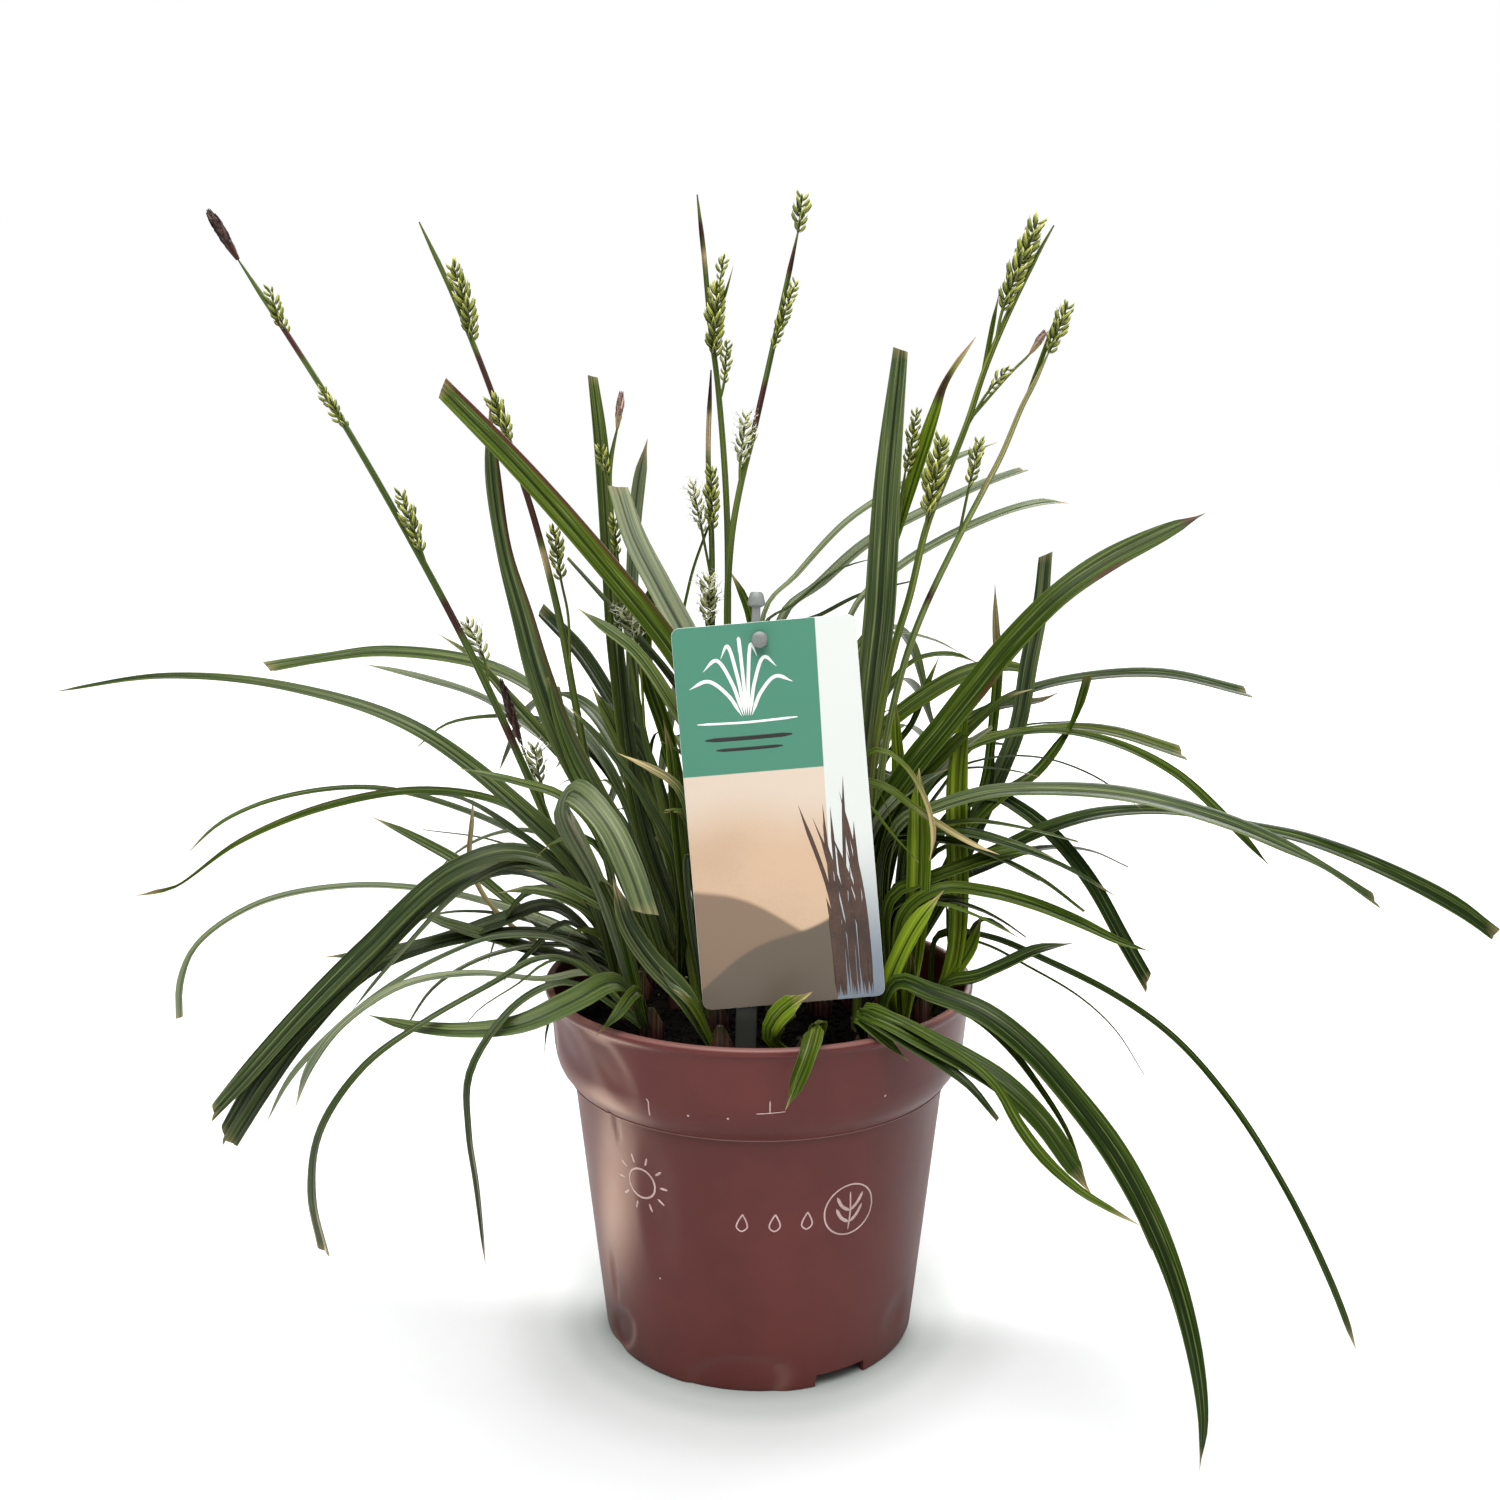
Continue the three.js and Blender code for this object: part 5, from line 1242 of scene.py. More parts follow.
# %% Stems, spikes and bracts
STEM_R0, STEM_R1 = 1.6, 0.78
STEM_FOOT_R = 1.7
STEM_SECTION = 10
STEM_STEP = 3.0
STALK_R = 0.5
STALK_STEP = 2.0
BRACT_STEP = 2.0
STEM_LOOK = (0.56, 0.0)  # tone and how pale
SCALE_SPREAD = 1.5  # the tips of the scales stand out past the body of a spike
PITCHES = {"f": 0.64, "w": 0.78, "m": 0.6, "p": 0.6}  # mm of axis between scales
WINE_PARTS = {  # heights of the elevation where a stem wears a dark sheath
    "culm_a": [(232, 246), (318, 332), (196, 206)],
    "culm_b": [(262, 286), (305, 322)],
    "culm_d": [(352, 362)],
    "culm_e": [(297, 313), (343, 353)],
    "culm_k": [(303, 317)],
    "culm_f": [(120, 200)],
    "culm_g": [(242, 249)],
}
STEM_LOOKS = {"culm_g": (0.95, 0.30), "culm_f": (0.75, 0.0), "culm_a": (0.45, 0.0)}
LONG_SHEATH = 40.0  # mm
LONG_DEPTH = {"culm_f": 0.35, "culm_g": 0.45}  # how strong the colour of a long one is
STRAW_PARTS = {  # and where an old one has dried to straw
    "culm_b": [(252, 262)], "culm_d": [(346, 352)], "culm_k": [(289, 303)], "culm_g": [(276, 318)],
}


def seen_height(point):
    """The height in the elevation of a point in the air."""
    return EYE.z + (point[2] - EYE.z) / enlarged(point[1])


def worn_along(parts, name, run):
    """How much of a sheath's colour a stem has at each step."""
    heights = np.array([seen_height(p) for p in run])
    depth = np.zeros(len(run))
    for low, high in parts.get(name, ()):
        soft = np.clip((heights - low) / 3, 0, 1) * np.clip((high - heights) / 1.5, 0, 1)
        much = LONG_DEPTH.get(name, 1.0) if high - low > LONG_SHEATH else 1.0
        depth = np.maximum(depth, soft * much)
    return depth


def nearest_on(line, point):
    """The nearest place on a polyline."""
    best = None
    for a, b in zip(line, line[1:]):
        t = max(0.0, min(1.0, (point - a).dot(b - a) / (b - a).length_squared))
        spot = a.lerp(b, t)
        if best is None or (spot - point).length < (best - point).length:
            best = spot
    return best


def upright_frame(run):
    """Normals for a path that hold their direction from step to step."""
    return unit_rows(np.cross(unit_rows(np.gradient(run, axis=0)), (1.0, 0.02, 0.0)))


def add_stem(paths, run, r0, r1, step, **values):
    """A round stem along even steps. Its radius goes from r0 to r1, and its tip is finer."""
    left = np.linspace(len(run) - 1, 0, len(run)) * step
    half = np.linspace(r0, r1, len(run)) * np.minimum(1, 0.3 + left / 16)
    paths.add(run, half=half, thick=1.0, up=upright_frame(run), seed=chance.random(), **values)


SPIKE_NAMES = {"f": "_spikes", "w": "_spikes_in_flower", "m": "_pollen_spikes", "p": "_papery_spikes"}
culm_triangles = 0
for name, (x, y, stem, spikes, bracts) in CULMS.items():
    paths = Paths()
    line = [Vector((x, y, SOIL_Z + 1))] + [place(*row) for row in stem]
    run = smooth_line(line, STEM_STEP)
    wine, dry = worn_along(WINE_PARTS, name, run), worn_along(STRAW_PARTS, name, run)
    tone, pale = STEM_LOOKS.get(name, STEM_LOOK)
    add_stem(paths, run, STEM_R0, STEM_R1, STEM_STEP, tone=tone, pale=pale, wine=wine, dry=dry)
    foot = [(x, y, z) for z in (FOOT_Z, SOIL_Z - 5, SOIL_Z + 3)]
    paths.add(foot, half=STEM_FOOT_R, thick=1.0, up=(0, -1, 0), tone=0.5, dry=0.4, seed=0.5)
    axes = {kind: Paths() for kind in SCALE_UNITS}
    for kind, rows, begin, width in spikes:
        points = [place(*row) for row in rows]
        points[0] = nearest_on(line, points[0])
        stalk = smooth_line(points, STALK_STEP)
        add_stem(paths, stalk, STALK_R, 0.8 * STALK_R, STALK_STEP, tone=0.75)
        run, part = smooth_run(points, [(i,) for i in range(len(points))], 1.0)
        bearing = part[:, 0] >= begin
        axis = run[bearing]
        t = np.linspace(0, 1, len(axis))
        full = np.minimum(1, np.minimum(0.72 + 0.6 * t, 1.5 - 0.85 * t))
        if kind in "mp":
            full = np.sin(math.pi * (0.15 + 0.8 * t))
            body = {"half": 0.32 * width * full, "thick": 1.0, "up": upright_frame(axis), "seed": 0.4}
            paths.add(axis, wine=1.0 if kind == "m" else 0.4, dry=1.0, **body)
        axes[kind].add(axis, half=0.5 * SCALE_SPREAD * width * full)
    for end, look, face, rows in bracts:
        points = [place(*row[:3]) for row in rows]
        points[0] = nearest_on(line, points[0])
        widths = [rows[0][3]] + [true_width(row) for row in rows[1:]]
        add_blade(paths, points, seen_reaches(points, widths, face), end, look, BRACT_STEP)
    stem_piece = swept_piece(name + "_stem", paths, STEM_SECTION, SEDGE_GREEN)
    own(stem_piece, "flower_stem", name)
    culm_triangles += triangles(stem_piece)
    for kind, axis_paths in axes.items():
        if not axis_paths.points:
            continue
        values = {"Scale": SCALE_UNITS[kind], "Pitch": PITCHES[kind] * MM, "Finish": SEDGE_SCALES}
        piece_name = name + SPIKE_NAMES[kind]
        spike_piece = grown(piece_name, axis_paths.mesh(piece_name), SPIKE, values)
        own(spike_piece, "flower_stem", name)
        culm_triangles += triangles(spike_piece)
for unit in SCALE_UNITS.values():
    bpy.data.objects.remove(unit)
print("flowering stems:", len(CULMS), "with", culm_triangles, "triangles")

# %% [markdown]
# ## Pot
# A thin moulded pot in one brick-coloured plastic: a tapered wall, a broad band under a rolled rim, a
# raised floor with drain holes, and a foot ring with notches that let the water out. A profile turned
# round the axis gives all of it but the notches and the holes. Handling has dented the band and
# creased the wall, and moulding leaves pips and ticks, so the turned mesh is pushed in here and there.

# %% Pot finish
def pot_material():
    material, tree, shader = new_material("pot_plastic")
    _, soft = mottled(tree, 14.0, 90.0)
    colour = ramp(tree, soft, [(0.38, rgb(0.086, 0.0175, 0.0150)), (0.62, rgb(0.106, 0.0220, 0.0185))])
    # pale paint on the pot: painted highlights along the band's edge and the rim, and stress-whitened folds
    # with a painted highlight
    highlight_and_wear_mix = tree.times(attribute(tree, "highlight_and_wear"), 0.7, clamp=True)
    colour = mixed(tree, highlight_and_wear_mix, colour, rgb(0.46, 0.28, 0.24))
    rough = ramp(tree, soft, [(0.35, grey(0.30)), (0.65, grey(0.40))])
    normal = bump(tree, soft, 0.0006, 0.35)
    tree.wire(shader, {
        "Base Color": colour, "Roughness": rough, "Specular IOR Level": 0.26, "Normal": normal,
    })
    return material


POT_PLASTIC = pot_material()
print("finish:", POT_PLASTIC.name)

# %% Turned shapes
def arc(centre, radius, start, end, count):
    """Points [radius, z] on a round corner of a profile."""
    angles = np.radians(np.linspace(start, end, count))
    return [(centre[0] + radius * math.cos(a), centre[1] + radius * math.sin(a)) for a in angles]


def turned(profile, angles):
    """A closed profile turned round the axis. It starts and ends on the axis."""
    rows = [[(r * math.cos(a), r * math.sin(a), z) for a in angles] for r, z in profile[1:-1]]
    points = [p for row in rows for p in row]
    n = len(angles)
    faces = []
    add_skin(faces, 0, len(rows), n)
    for z, k, turn in ((profile[0][1], 0, 1), (profile[-1][1], len(rows) - 1, -1)):
        centre = len(points)
        points.append((0.0, 0.0, z))
        for j in range(n):
            a, b = k * n + j, k * n + (j + 1) % n
            faces.append((centre, b, a)[::turn])
    return points, faces


def mesh_piece(name, points, faces, finish, smooth=True):
    made = bpy.data.meshes.new(name)
    made.from_pydata([tuple(MM * c for c in p) for p in points], [], faces)
    made.polygons.foreach_set("use_smooth", [smooth] * len(made.polygons))
    made.materials.append(finish)
    return link_object(bpy.data.objects.new(name, made))


POT_HEIGHT = 120.5
POT_RIM_R = 70.6
POT_BASE_R = 52.0
BAND_R = 62.4
BAND_Z = 89.0
WALL = 1.8
FLOOR_Z, FLOOR_TOP = 5.0, 7.0
BOSS_R = 14.0
NOTCHES = 5
NOTCH_FIRST = -60.0
CRUSHED = 4
NOTCH_W = 18.0
NOTCH_H = 4.4
DRAIN_HOLES = 8
DRAIN_R = 3.5
DRAIN_RING_R = 34.0
DENT_TOP = POT_HEIGHT - 3.2  # the rolled rim above it keeps its shape
DENT_FADE = 2.5  # mm


def along_line(a, b, count):
    """Points between two, the first left out."""
    return [(a[0] + (b[0] - a[0]) * t, a[1] + (b[1] - a[1]) * t) for t in np.linspace(0, 1, count + 1)[1:]]


def pot_profile():
    foot = POT_BASE_R - WALL
    step_low = (BAND_R - 0.8, BAND_Z - 0.6)
    rows = [(0, 0), (4, 0), (BOSS_R - 0.5, 0), (BOSS_R, 0.5), (BOSS_R, FLOOR_Z - 0.4)]
    rows += [(BOSS_R + 0.4, FLOOR_Z), (DRAIN_RING_R, FLOOR_Z), (foot - 0.5, FLOOR_Z), (foot, FLOOR_Z - 0.5)]
    rows += [(foot, NOTCH_H), (foot, 0.4), (foot + 0.4, 0.0)]
    rows += [(POT_BASE_R - 0.5, 0.0), (POT_BASE_R - 0.1, 0.2), (POT_BASE_R + 0.15, 0.8)]
    rows += along_line((POT_BASE_R + 0.15, 0.8), (POT_BASE_R + 0.55, NOTCH_H), 3)
    rows += along_line((POT_BASE_R + 0.55, NOTCH_H), step_low, 52)
    rows += [(BAND_R - 0.5, BAND_Z - 0.3), (BAND_R + 0.1, BAND_Z - 0.25), (BAND_R + 0.7, BAND_Z - 0.05)]
    rows += [(BAND_R + 0.85, BAND_Z + 0.2), (BAND_R + 0.7, BAND_Z + 0.45), (BAND_R + 0.8, BAND_Z + 0.7)]
    rows += [(63.6, 90.2), (64.9, 91.8), (65.9, 93.2), (66.8, 95.2), (67.4, 97.2), (67.9, 99.5)]
    rows += along_line((67.9, 99.5), (69.5, 117.0), 16)
    rows += [(69.75, 117.6), (70.2, 117.95), (POT_RIM_R - 0.12, 118.3), (POT_RIM_R, 118.8)]
    rows += arc((POT_RIM_R - 0.9, POT_HEIGHT - 0.9), 0.9, 0, 90, 5)
    rows += arc((POT_RIM_R - 1.9, POT_HEIGHT - 0.7), 0.7, 90, 180, 4)
    rows += [(67.9, 117.5), (66.4, 102), (66.1, 100), (64.9, 96), (BAND_R - 2, BAND_Z + 1)]
    rows += along_line((BAND_R - 2, BAND_Z + 1), (foot, FLOOR_TOP + 0.6), 8)
    return rows + [(foot - 0.6, FLOOR_TOP), (DRAIN_RING_R, FLOOR_TOP), (4, FLOOR_TOP), (0, FLOOR_TOP)]


print("pot profile:", len(pot_profile()), "corners")

# %% Notched foot, dents and pips
POT_SEGMENTS = 320
NOTCH_EDGE = 0.22  # degrees on either side of the edge of a notch
notch_half = math.degrees(NOTCH_W / 2 / POT_BASE_R)
notch_turns = [NOTCH_FIRST + 360 * i / NOTCHES for i in range(NOTCHES)]
angles = [360 * i / POT_SEGMENTS for i in range(POT_SEGMENTS)]
for turn in notch_turns:
    for edge in (-notch_half, notch_half):
        angles += [(turn + edge - NOTCH_EDGE) % 360, (turn + edge + NOTCH_EDGE) % 360]
angles = [math.radians(a) for a in sorted(set(round(a, 3) for a in angles))]


def angle_off(angle, turn):
    """Degrees between a direction and another, from -180 to 180."""
    return (math.degrees(angle) - turn + 180) % 360 - 180


def notch_rise(angle):
    """How high the foot is cut away in a direction. One notch has been crushed nearly shut."""
    for i, turn in enumerate(notch_turns):
        if abs(angle_off(angle, turn)) < notch_half:
            return NOTCH_H if i != CRUSHED else 0.5 + 0.35 * math.sin(5 * math.degrees(angle))
    return 0.0


# A dent: heading in degrees, height, how far in, its half sizes round and up, how much it slants, how
# crisp its fold is, and how pale its fold is painted: stress whitening with a painted highlight.
DENTS = [
    (-150, 109, 0.8, 13, 11, 0.5, 1.2, 0.05), (-132, 109, 0.4, 7, 12, 0.9, 1.5, 0.04),
    (-168, 106, 0.9, 8, 9, 0, 1, 0), (60, 107, 1.0, 10, 8, 0, 1, 0), (150, 104, 0.8, 12, 8, 0, 1, 0),
    (-136.5, 86, 0.4, 1.2, 7, 0.5, 1.5, 0.2), (-149, 8, 1.5, 9, 9, -0.5, 1.4, 0.35),
    (-149, 27, 0.6, 2.4, 11, 0, 1.2, 0.1), (-98, 3, 0.7, 17, 10, -0.25, 3.6, 0.16),
    (-122, 60, 0.7, 8, 26, 0, 1, 0), (-34, 14, 0.8, 9, 9, 0, 1, 0), (20, 45, 0.7, 16, 26, 0, 1, 0),
    (95, 30, 0.8, 14, 20, 0, 1, 0),
]


def dent_at(angle, z):
    """How far in the wall is pushed at a place, and how pale it is painted there: stress whitening and a
    painted highlight along each fold.
    """
    push, pale = 0.0, 0.0
    for turn, height, depth, wide, tall, slant, crisp, white in DENTS:
        v = (z - height) / tall
        u = angle_off(angle, turn) / wide + slant * v
        d = math.hypot(u, v)
        t = min(1.0, max(0.0, (1.15 - d) * crisp))
        push += depth * t * t * (3 - 2 * t)
        # the pale ring is painted stronger on one side of each fold: a painted highlight as well as stress
        # whitening
        pale += white * math.exp(-((d - 0.95) / 0.16) ** 2) * (0.4 + 0.6 * (u - v > 0))
    return push, pale


def dented(point, angle):
    """A point of the outer or inner wall, pushed in by the dents."""
    x, y, z = point
    r = math.hypot(x, y)
    if r < POT_BASE_R - 3 or z > DENT_TOP:
        return point
    k = 1 - dent_at(angle, z)[0] * min(1.0, (DENT_TOP - z) / DENT_FADE) / r
    return (x * k, y * k, z)


points, faces = turned(pot_profile(), angles)
for i in range(len(points) - 2):
    angle = angles[i % len(angles)]
    x, y, z = dented(points[i], angle)
    if math.hypot(x, y) > POT_BASE_R - WALL - 4:
        z = max(z, min(NOTCH_H, notch_rise(angle)))
    points[i] = (x, y, z)
pot_piece = mesh_piece("pot_shell", points, faces, POT_PLASTIC)
print("pot:", len(points), "points")

# %% Drain holes
def cut_through(piece, cutter):
    """Cuts one mesh with another and keeps the result as a plain mesh."""
    modifier = piece.modifiers.new("cut", "BOOLEAN")
    modifier.operation = "DIFFERENCE"
    modifier.solver = "EXACT"
    modifier.object = cutter
    applied(piece)
    bpy.data.objects.remove(cutter)


points, faces = [], []
for i in range(DRAIN_HOLES):
    turn = math.tau * (i + 0.5) / DRAIN_HOLES
    middle = (DRAIN_RING_R * math.cos(turn), DRAIN_RING_R * math.sin(turn))
    outline = circle(DRAIN_R, 24, middle)
    add_stack(points, faces, [[(x, y, z) for x, y in outline] for z in (FLOOR_Z - 3, FLOOR_TOP + 3)])
cut_through(pot_piece, mesh_piece("drain_cutters", points, faces, POT_PLASTIC, smooth=False))
pot_piece.data.set_sharp_from_angle(angle=math.radians(38))
highlight_and_wear = []  # how pale each point is painted: painted highlights under the band and on the rim, and folds gone pale from stress with a painted highlight
for vertex in pot_piece.data.vertices:
    x, y, z = vertex.co / MM
    # painted highlights: a thin pale line under the band's edge and along the top of the rim
    on_edge = 0.5 if abs(z - BAND_Z - 0.2) < 0.2 and math.hypot(x, y) > BAND_R else 0.0
    on_rim = 0.3 if z > POT_HEIGHT - 0.9 else 0.0
    outside = math.hypot(x, y) > POT_BASE_R - 4 + 0.1 * z
    highlight_and_wear.append(on_edge + on_rim + (dent_at(math.atan2(y, x), z)[1] if outside else 0.0))
carry(pot_piece.data, "highlight_and_wear", highlight_and_wear)
own(pot_piece, "pot_plastic", "pot")
print("pot with drain holes:", triangles(pot_piece), "triangles")

# %% [markdown]
# ## Compost
# Dark peat fills the pot to just under the rim. It is a turned body with a lumpy top, plus loose
# crumbs, bits of bark and a few pale grains, which a Geometry Nodes tree scatters over the top face.

# %% Soil finish
def soil_material():
    material, tree, shader = new_material("peat")
    _, crumb = mottled(tree, 160.0, 1400.0)
    colour = ramp(tree, crumb, [(0.36, rgb(0.0010, 0.0008, 0.0005)), (0.66, rgb(0.0045, 0.003, 0.002))])
    pale = step_up(tree, attribute(tree, "shade"), 0.95, 0.98)
    colour = mixed(tree, pale, colour, rgb(0.15, 0.12, 0.08))
    normal = bump(tree, crumb, 0.0012)
    tree.wire(shader, {
        "Base Color": colour, "Roughness": 0.9, "Specular IOR Level": 0.06, "Normal": normal,
    })
    return material


PEAT = soil_material()
print("finish:", PEAT.name)

# %% Lumpy body of compost
GAP = 0.3
SOIL_RINGS = [0.5, 3, 7, 12, 17, 22, 27, 32, 37, 42, 47, 51, 55, 58]


def lump(x, y):
    """Low swells of the soil's surface, in millimetres, never above the level that it has in CAD."""
    swell = 0.9 * math.sin(0.31 * x + 0.8) * math.cos(0.27 * y)
    return -1.0 + swell + 0.5 * math.sin(0.9 * x) * math.sin(0.83 * y + 1)


profile = [(0, FLOOR_TOP + GAP), (20, FLOOR_TOP + GAP), (POT_BASE_R - WALL - GAP, FLOOR_TOP + GAP + 1)]
profile += [(BAND_R - 2.4, BAND_Z + 1.2), (64.4, 96.2), (65.6, 100.2), (65.9, SOIL_Z - 2.4)]
profile += [(62, SOIL_Z - 0.6)] + [(r, SOIL_Z) for r in reversed(SOIL_RINGS)] + [(0, SOIL_Z)]
points, faces = turned(profile, [math.tau * i / 72 for i in range(72)])
points = [
    dented((x, y, z + (lump(x, y) if z > SOIL_Z - 1 else 0.0)), math.atan2(y, x)) for x, y, z in points
]
soil_piece = mesh_piece("compost", points, faces, PEAT)
own(soil_piece, "soil", "soil")
print("compost:", triangles(soil_piece), "triangles")

# %% Crumbs and fibres
CRUMB_REACH = 57.0  # mm from the axis
TURN_ROUND = (6.28, 6.28, 6.28)


def crumb_unit(name, seed, size):
    """A small angular crumb, 1 long."""
    rand = random.Random(seed)
    rings = []
    for t, r in ((0.0, 0.12), (0.35, 0.42), (0.75, 0.34), (1.0, 0.10)):
        corners = [(k * math.tau / 5 + rand.uniform(-0.4, 0.4), r * rand.uniform(0.7, 1.2)) for k in range(5)]
        height = size[2] * (t - 0.4)
        rings.append([(size[0] * w * math.cos(a), size[1] * w * math.sin(a), height) for a, w in corners])
    made = Facets()
    made.ring_body(rings, 0)
    return made.object(name)


def scatter_tree():
    """Small things scattered over the upward faces of a mesh."""
    inputs = [
        ("Ground", "Geometry"), ("Crumb", "Object"), ("Per Square Metre", "Float", 9000.0),
        ("Smallest", "Float", 0.001), ("Largest", "Float", 0.004), ("Seed", "Int", 1), ("Finish", "Material"),
    ]
    group, tree, given = new_group("scatter", "GeometryNodeTree", inputs, [("Crumbs", "Geometry")])
    ground, crumb, density, small, large, seed, finish = given[:7]
    up = tree.add("ShaderNodeSeparateXYZ", {0: tree.add("GeometryNodeInputNormal").outputs[0]}).outputs[2]
    position = tree.add("GeometryNodeInputPosition").outputs[0]
    x, y, z = tree.add("ShaderNodeSeparateXYZ", {0: position}).outputs
    on_top = tree.math("GREATER_THAN", z, (SOIL_Z - 8) * MM)
    chosen = tree.times(tree.math("GREATER_THAN", up, 0.6), on_top)
    flat = tree.add("ShaderNodeCombineXYZ", {0: x, 1: y}).outputs[0]
    inside = tree.math("LESS_THAN", tree.length(flat), CRUMB_REACH * MM)
    chosen = tree.times(chosen, inside)
    sockets = {"Mesh": ground, "Selection": chosen, "Density": density, "Seed": seed}
    spots = tree.add("GeometryNodeDistributePointsOnFaces", sockets).outputs[0]
    sockets = {0: (0, 0, 0), 1: TURN_ROUND, "Seed": 5}
    spin = tree.add("FunctionNodeRandomValue", sockets, data_type="FLOAT_VECTOR").outputs[0]
    size, shade = tree.random(small, large, 6), tree.random(0.0, 1.0, 7)
    tree.finish(tree.strewn(spots, crumb, spin, size, shade), finish)
    return group


SCATTER = scatter_tree()
for name, seed, size, density, smallest, largest in (
    ("compost_crumbs", 11, (1, 1, 0.8), 130000.0, 0.0010, 0.0034),
    ("compost_fibres", 12, (0.16, 0.16, 2.6), 26000.0, 0.0016, 0.0040),
):
    unit = crumb_unit(name + "_unit", seed, size)
    values = {
        "Crumb": unit, "Finish": PEAT, "Seed": seed, "Per Square Metre": density,
        "Smallest": smallest, "Largest": largest,
    }
    piece = grown(name, soil_piece.data.copy(), SCATTER, values)
    bpy.data.objects.remove(unit)
    own(piece, "soil", "soil")
    print(name, triangles(piece), "triangles")

# %% [markdown]
# ## Picture label
# A stiff printed card with rounded corners hangs on a grey plastic stake by a push rivet. Its print is
# a green field over a sand-coloured one beside a pale strip, with a plain tuft of grass in white and
# brown reeds. The edges of the fields are worked out from the card's own coordinates, which its
# points carry. The tuft, the bars and the reeds are real ink, a twentieth of a millimetre thick.

# %% Label frame and finishes
CARD_W, CARD_H, CARD_T = 55.0, 115.0, 0.8
CARD_TILT = 0.108
CARD_AT = (8.2, 74.1)
STAKE_W, STAKE_T = 6.4, 1.6
STAKE_FOOT = (-4.3, -50.2, 111.0)
STAKE_DEPTH = 40.0
RIVET_AT = (1.2, 125.8)
RIVET_R = 1.1
stake_up = Vector((0.024, 0.121, 0.992)).normalized()
stake_out = Vector((1, 0, 0)).cross(stake_up).normalized()
stake_right = stake_up.cross(stake_out)
CARD_FRONT = STAKE_T / 2 + GAP + CARD_T


def on_stake(u, v, out):
    """A point given across, up and in front of the stake."""
    return Vector(STAKE_FOOT) + stake_right * u + stake_up * v + stake_out * out


def on_card(u, v, out):
    """A point given from the middle of the card, which is turned a little on the stake."""
    c, s = math.cos(CARD_TILT), math.sin(CARD_TILT)
    return on_stake(CARD_AT[0] + u * c - v * s, CARD_AT[1] + u * s + v * c, out)


def card_material():
    """Flat printed fields on the front and white board on the back and edges."""
    material, tree, shader = new_material("label_print")
    u, v, front = (attribute(tree, name) for name in ("card_u", "card_v", "card_front"))
    wave = tree.times(tree.math("SINE", tree.times(u, 0.13)), 2.2)
    _, soft = mottled(tree, 40.0, 1500.0)
    sand = ramp(tree, soft, [(0.35, rgb(0.47, 0.325, 0.215)), (0.65, rgb(0.52, 0.36, 0.24))])
    low = tree.math("ADD", v, wave)
    for slope, top, foot, shade in (
        (0.45, -32.0, -34.0, rgb(0.20, 0.135, 0.09)), (-0.5, -36.0, -37.5, rgb(0.11, 0.085, 0.06)),
    ):
        dune = step_up(tree, tree.math("MULTIPLY_ADD", u, slope, low), top, foot)
        sand = mixed(tree, dune, sand, shade)
    sky = step_up(tree, low, -12.0, 9.0)
    sand = mixed(tree, sky, sand, rgb(0.56, 0.46, 0.37))
    strip = step_up(tree, tree.math("ADD", u, tree.times(v, -0.02)), 14.2, 14.4)
    pale = mixed(tree, step_up(tree, v, -5.0, -50.0), rgb(0.58, 0.60, 0.57), rgb(0.17, 0.20, 0.24))
    colour = mixed(tree, strip, sand, pale)
    green = step_up(tree, v, 12.9, 13.1)
    field = tree.times(green, tree.math("SUBTRACT", 1.0, strip))
    colour = mixed(tree, field, colour, rgb(0.057, 0.199, 0.131))
    colour = mixed(tree, front, rgb(0.80, 0.80, 0.77), colour)
    tree.wire(shader, {"Base Color": colour, "Roughness": 0.38})
    return material


def plastic(name, colour, dark, roughness, shaded_below=0.0):
    """A plain moulded plastic with a faint mottle, painted darker below a height in metres: painted shade."""
    material, tree, shader = new_material(name)
    spot, soft = mottled(tree, 90.0, 1800.0)
    shaded = ramp(tree, soft, [(0.35, dark), (0.65, colour)])
    if shaded_below:
        height = tree.add("ShaderNodeSeparateXYZ", {0: spot}).outputs[2]
        # painted shade: the plastic turns nearly black below the given height, in the shade of the card and
        # leaves
        painted_shade = step_up(tree, height, shaded_below + 0.012, shaded_below - 0.004)
        shaded = mixed(tree, painted_shade, shaded, rgb(0.020, 0.020, 0.016))
    normal = bump(tree, soft, 0.00008, 0.4)
    tree.wire(shader, {"Base Color": shaded, "Roughness": roughness, "Normal": normal})
    return material


LABEL_PRINT = card_material()
# the stake is painted dark below 128 mm: painted shade under the card and the leaves
STAKE_GREY = plastic("stake_plastic", rgb(0.19, 0.20, 0.19), rgb(0.13, 0.14, 0.13), 0.42, shaded_below=0.128)
WHITE_INK = plastic("white_ink", rgb(0.80, 0.82, 0.78), rgb(0.72, 0.75, 0.70), 0.45)
BLACK_INK = plastic("dark_ink", rgb(0.012, 0.014, 0.012), rgb(0.018, 0.018, 0.018), 0.45)
BROWN_INK = plastic("brown_ink", rgb(0.085, 0.045, 0.030), rgb(0.040, 0.022, 0.016), 0.45)
POT_INK = plastic("pot_ink", rgb(0.56, 0.40, 0.37), rgb(0.40, 0.26, 0.23), 0.5)
print("finishes: label, stake, inks")

# %% Card
EASED = 0.12
CARD_CORNER = 2.5


def rounded_outline(half_w, half_h, radius, count=8):
    """Points [u, v] round a flat shape with round corners."""
    points = []
    corners = ((half_w, half_h, 0), (-half_w, half_h, 90), (-half_w, -half_h, 180), (half_w, -half_h, 270))
    for x, y, start in corners:
        centre = (x - math.copysign(radius, x), y - math.copysign(radius, y))
        points += arc(centre, radius, start, start + 90, count)
    return points


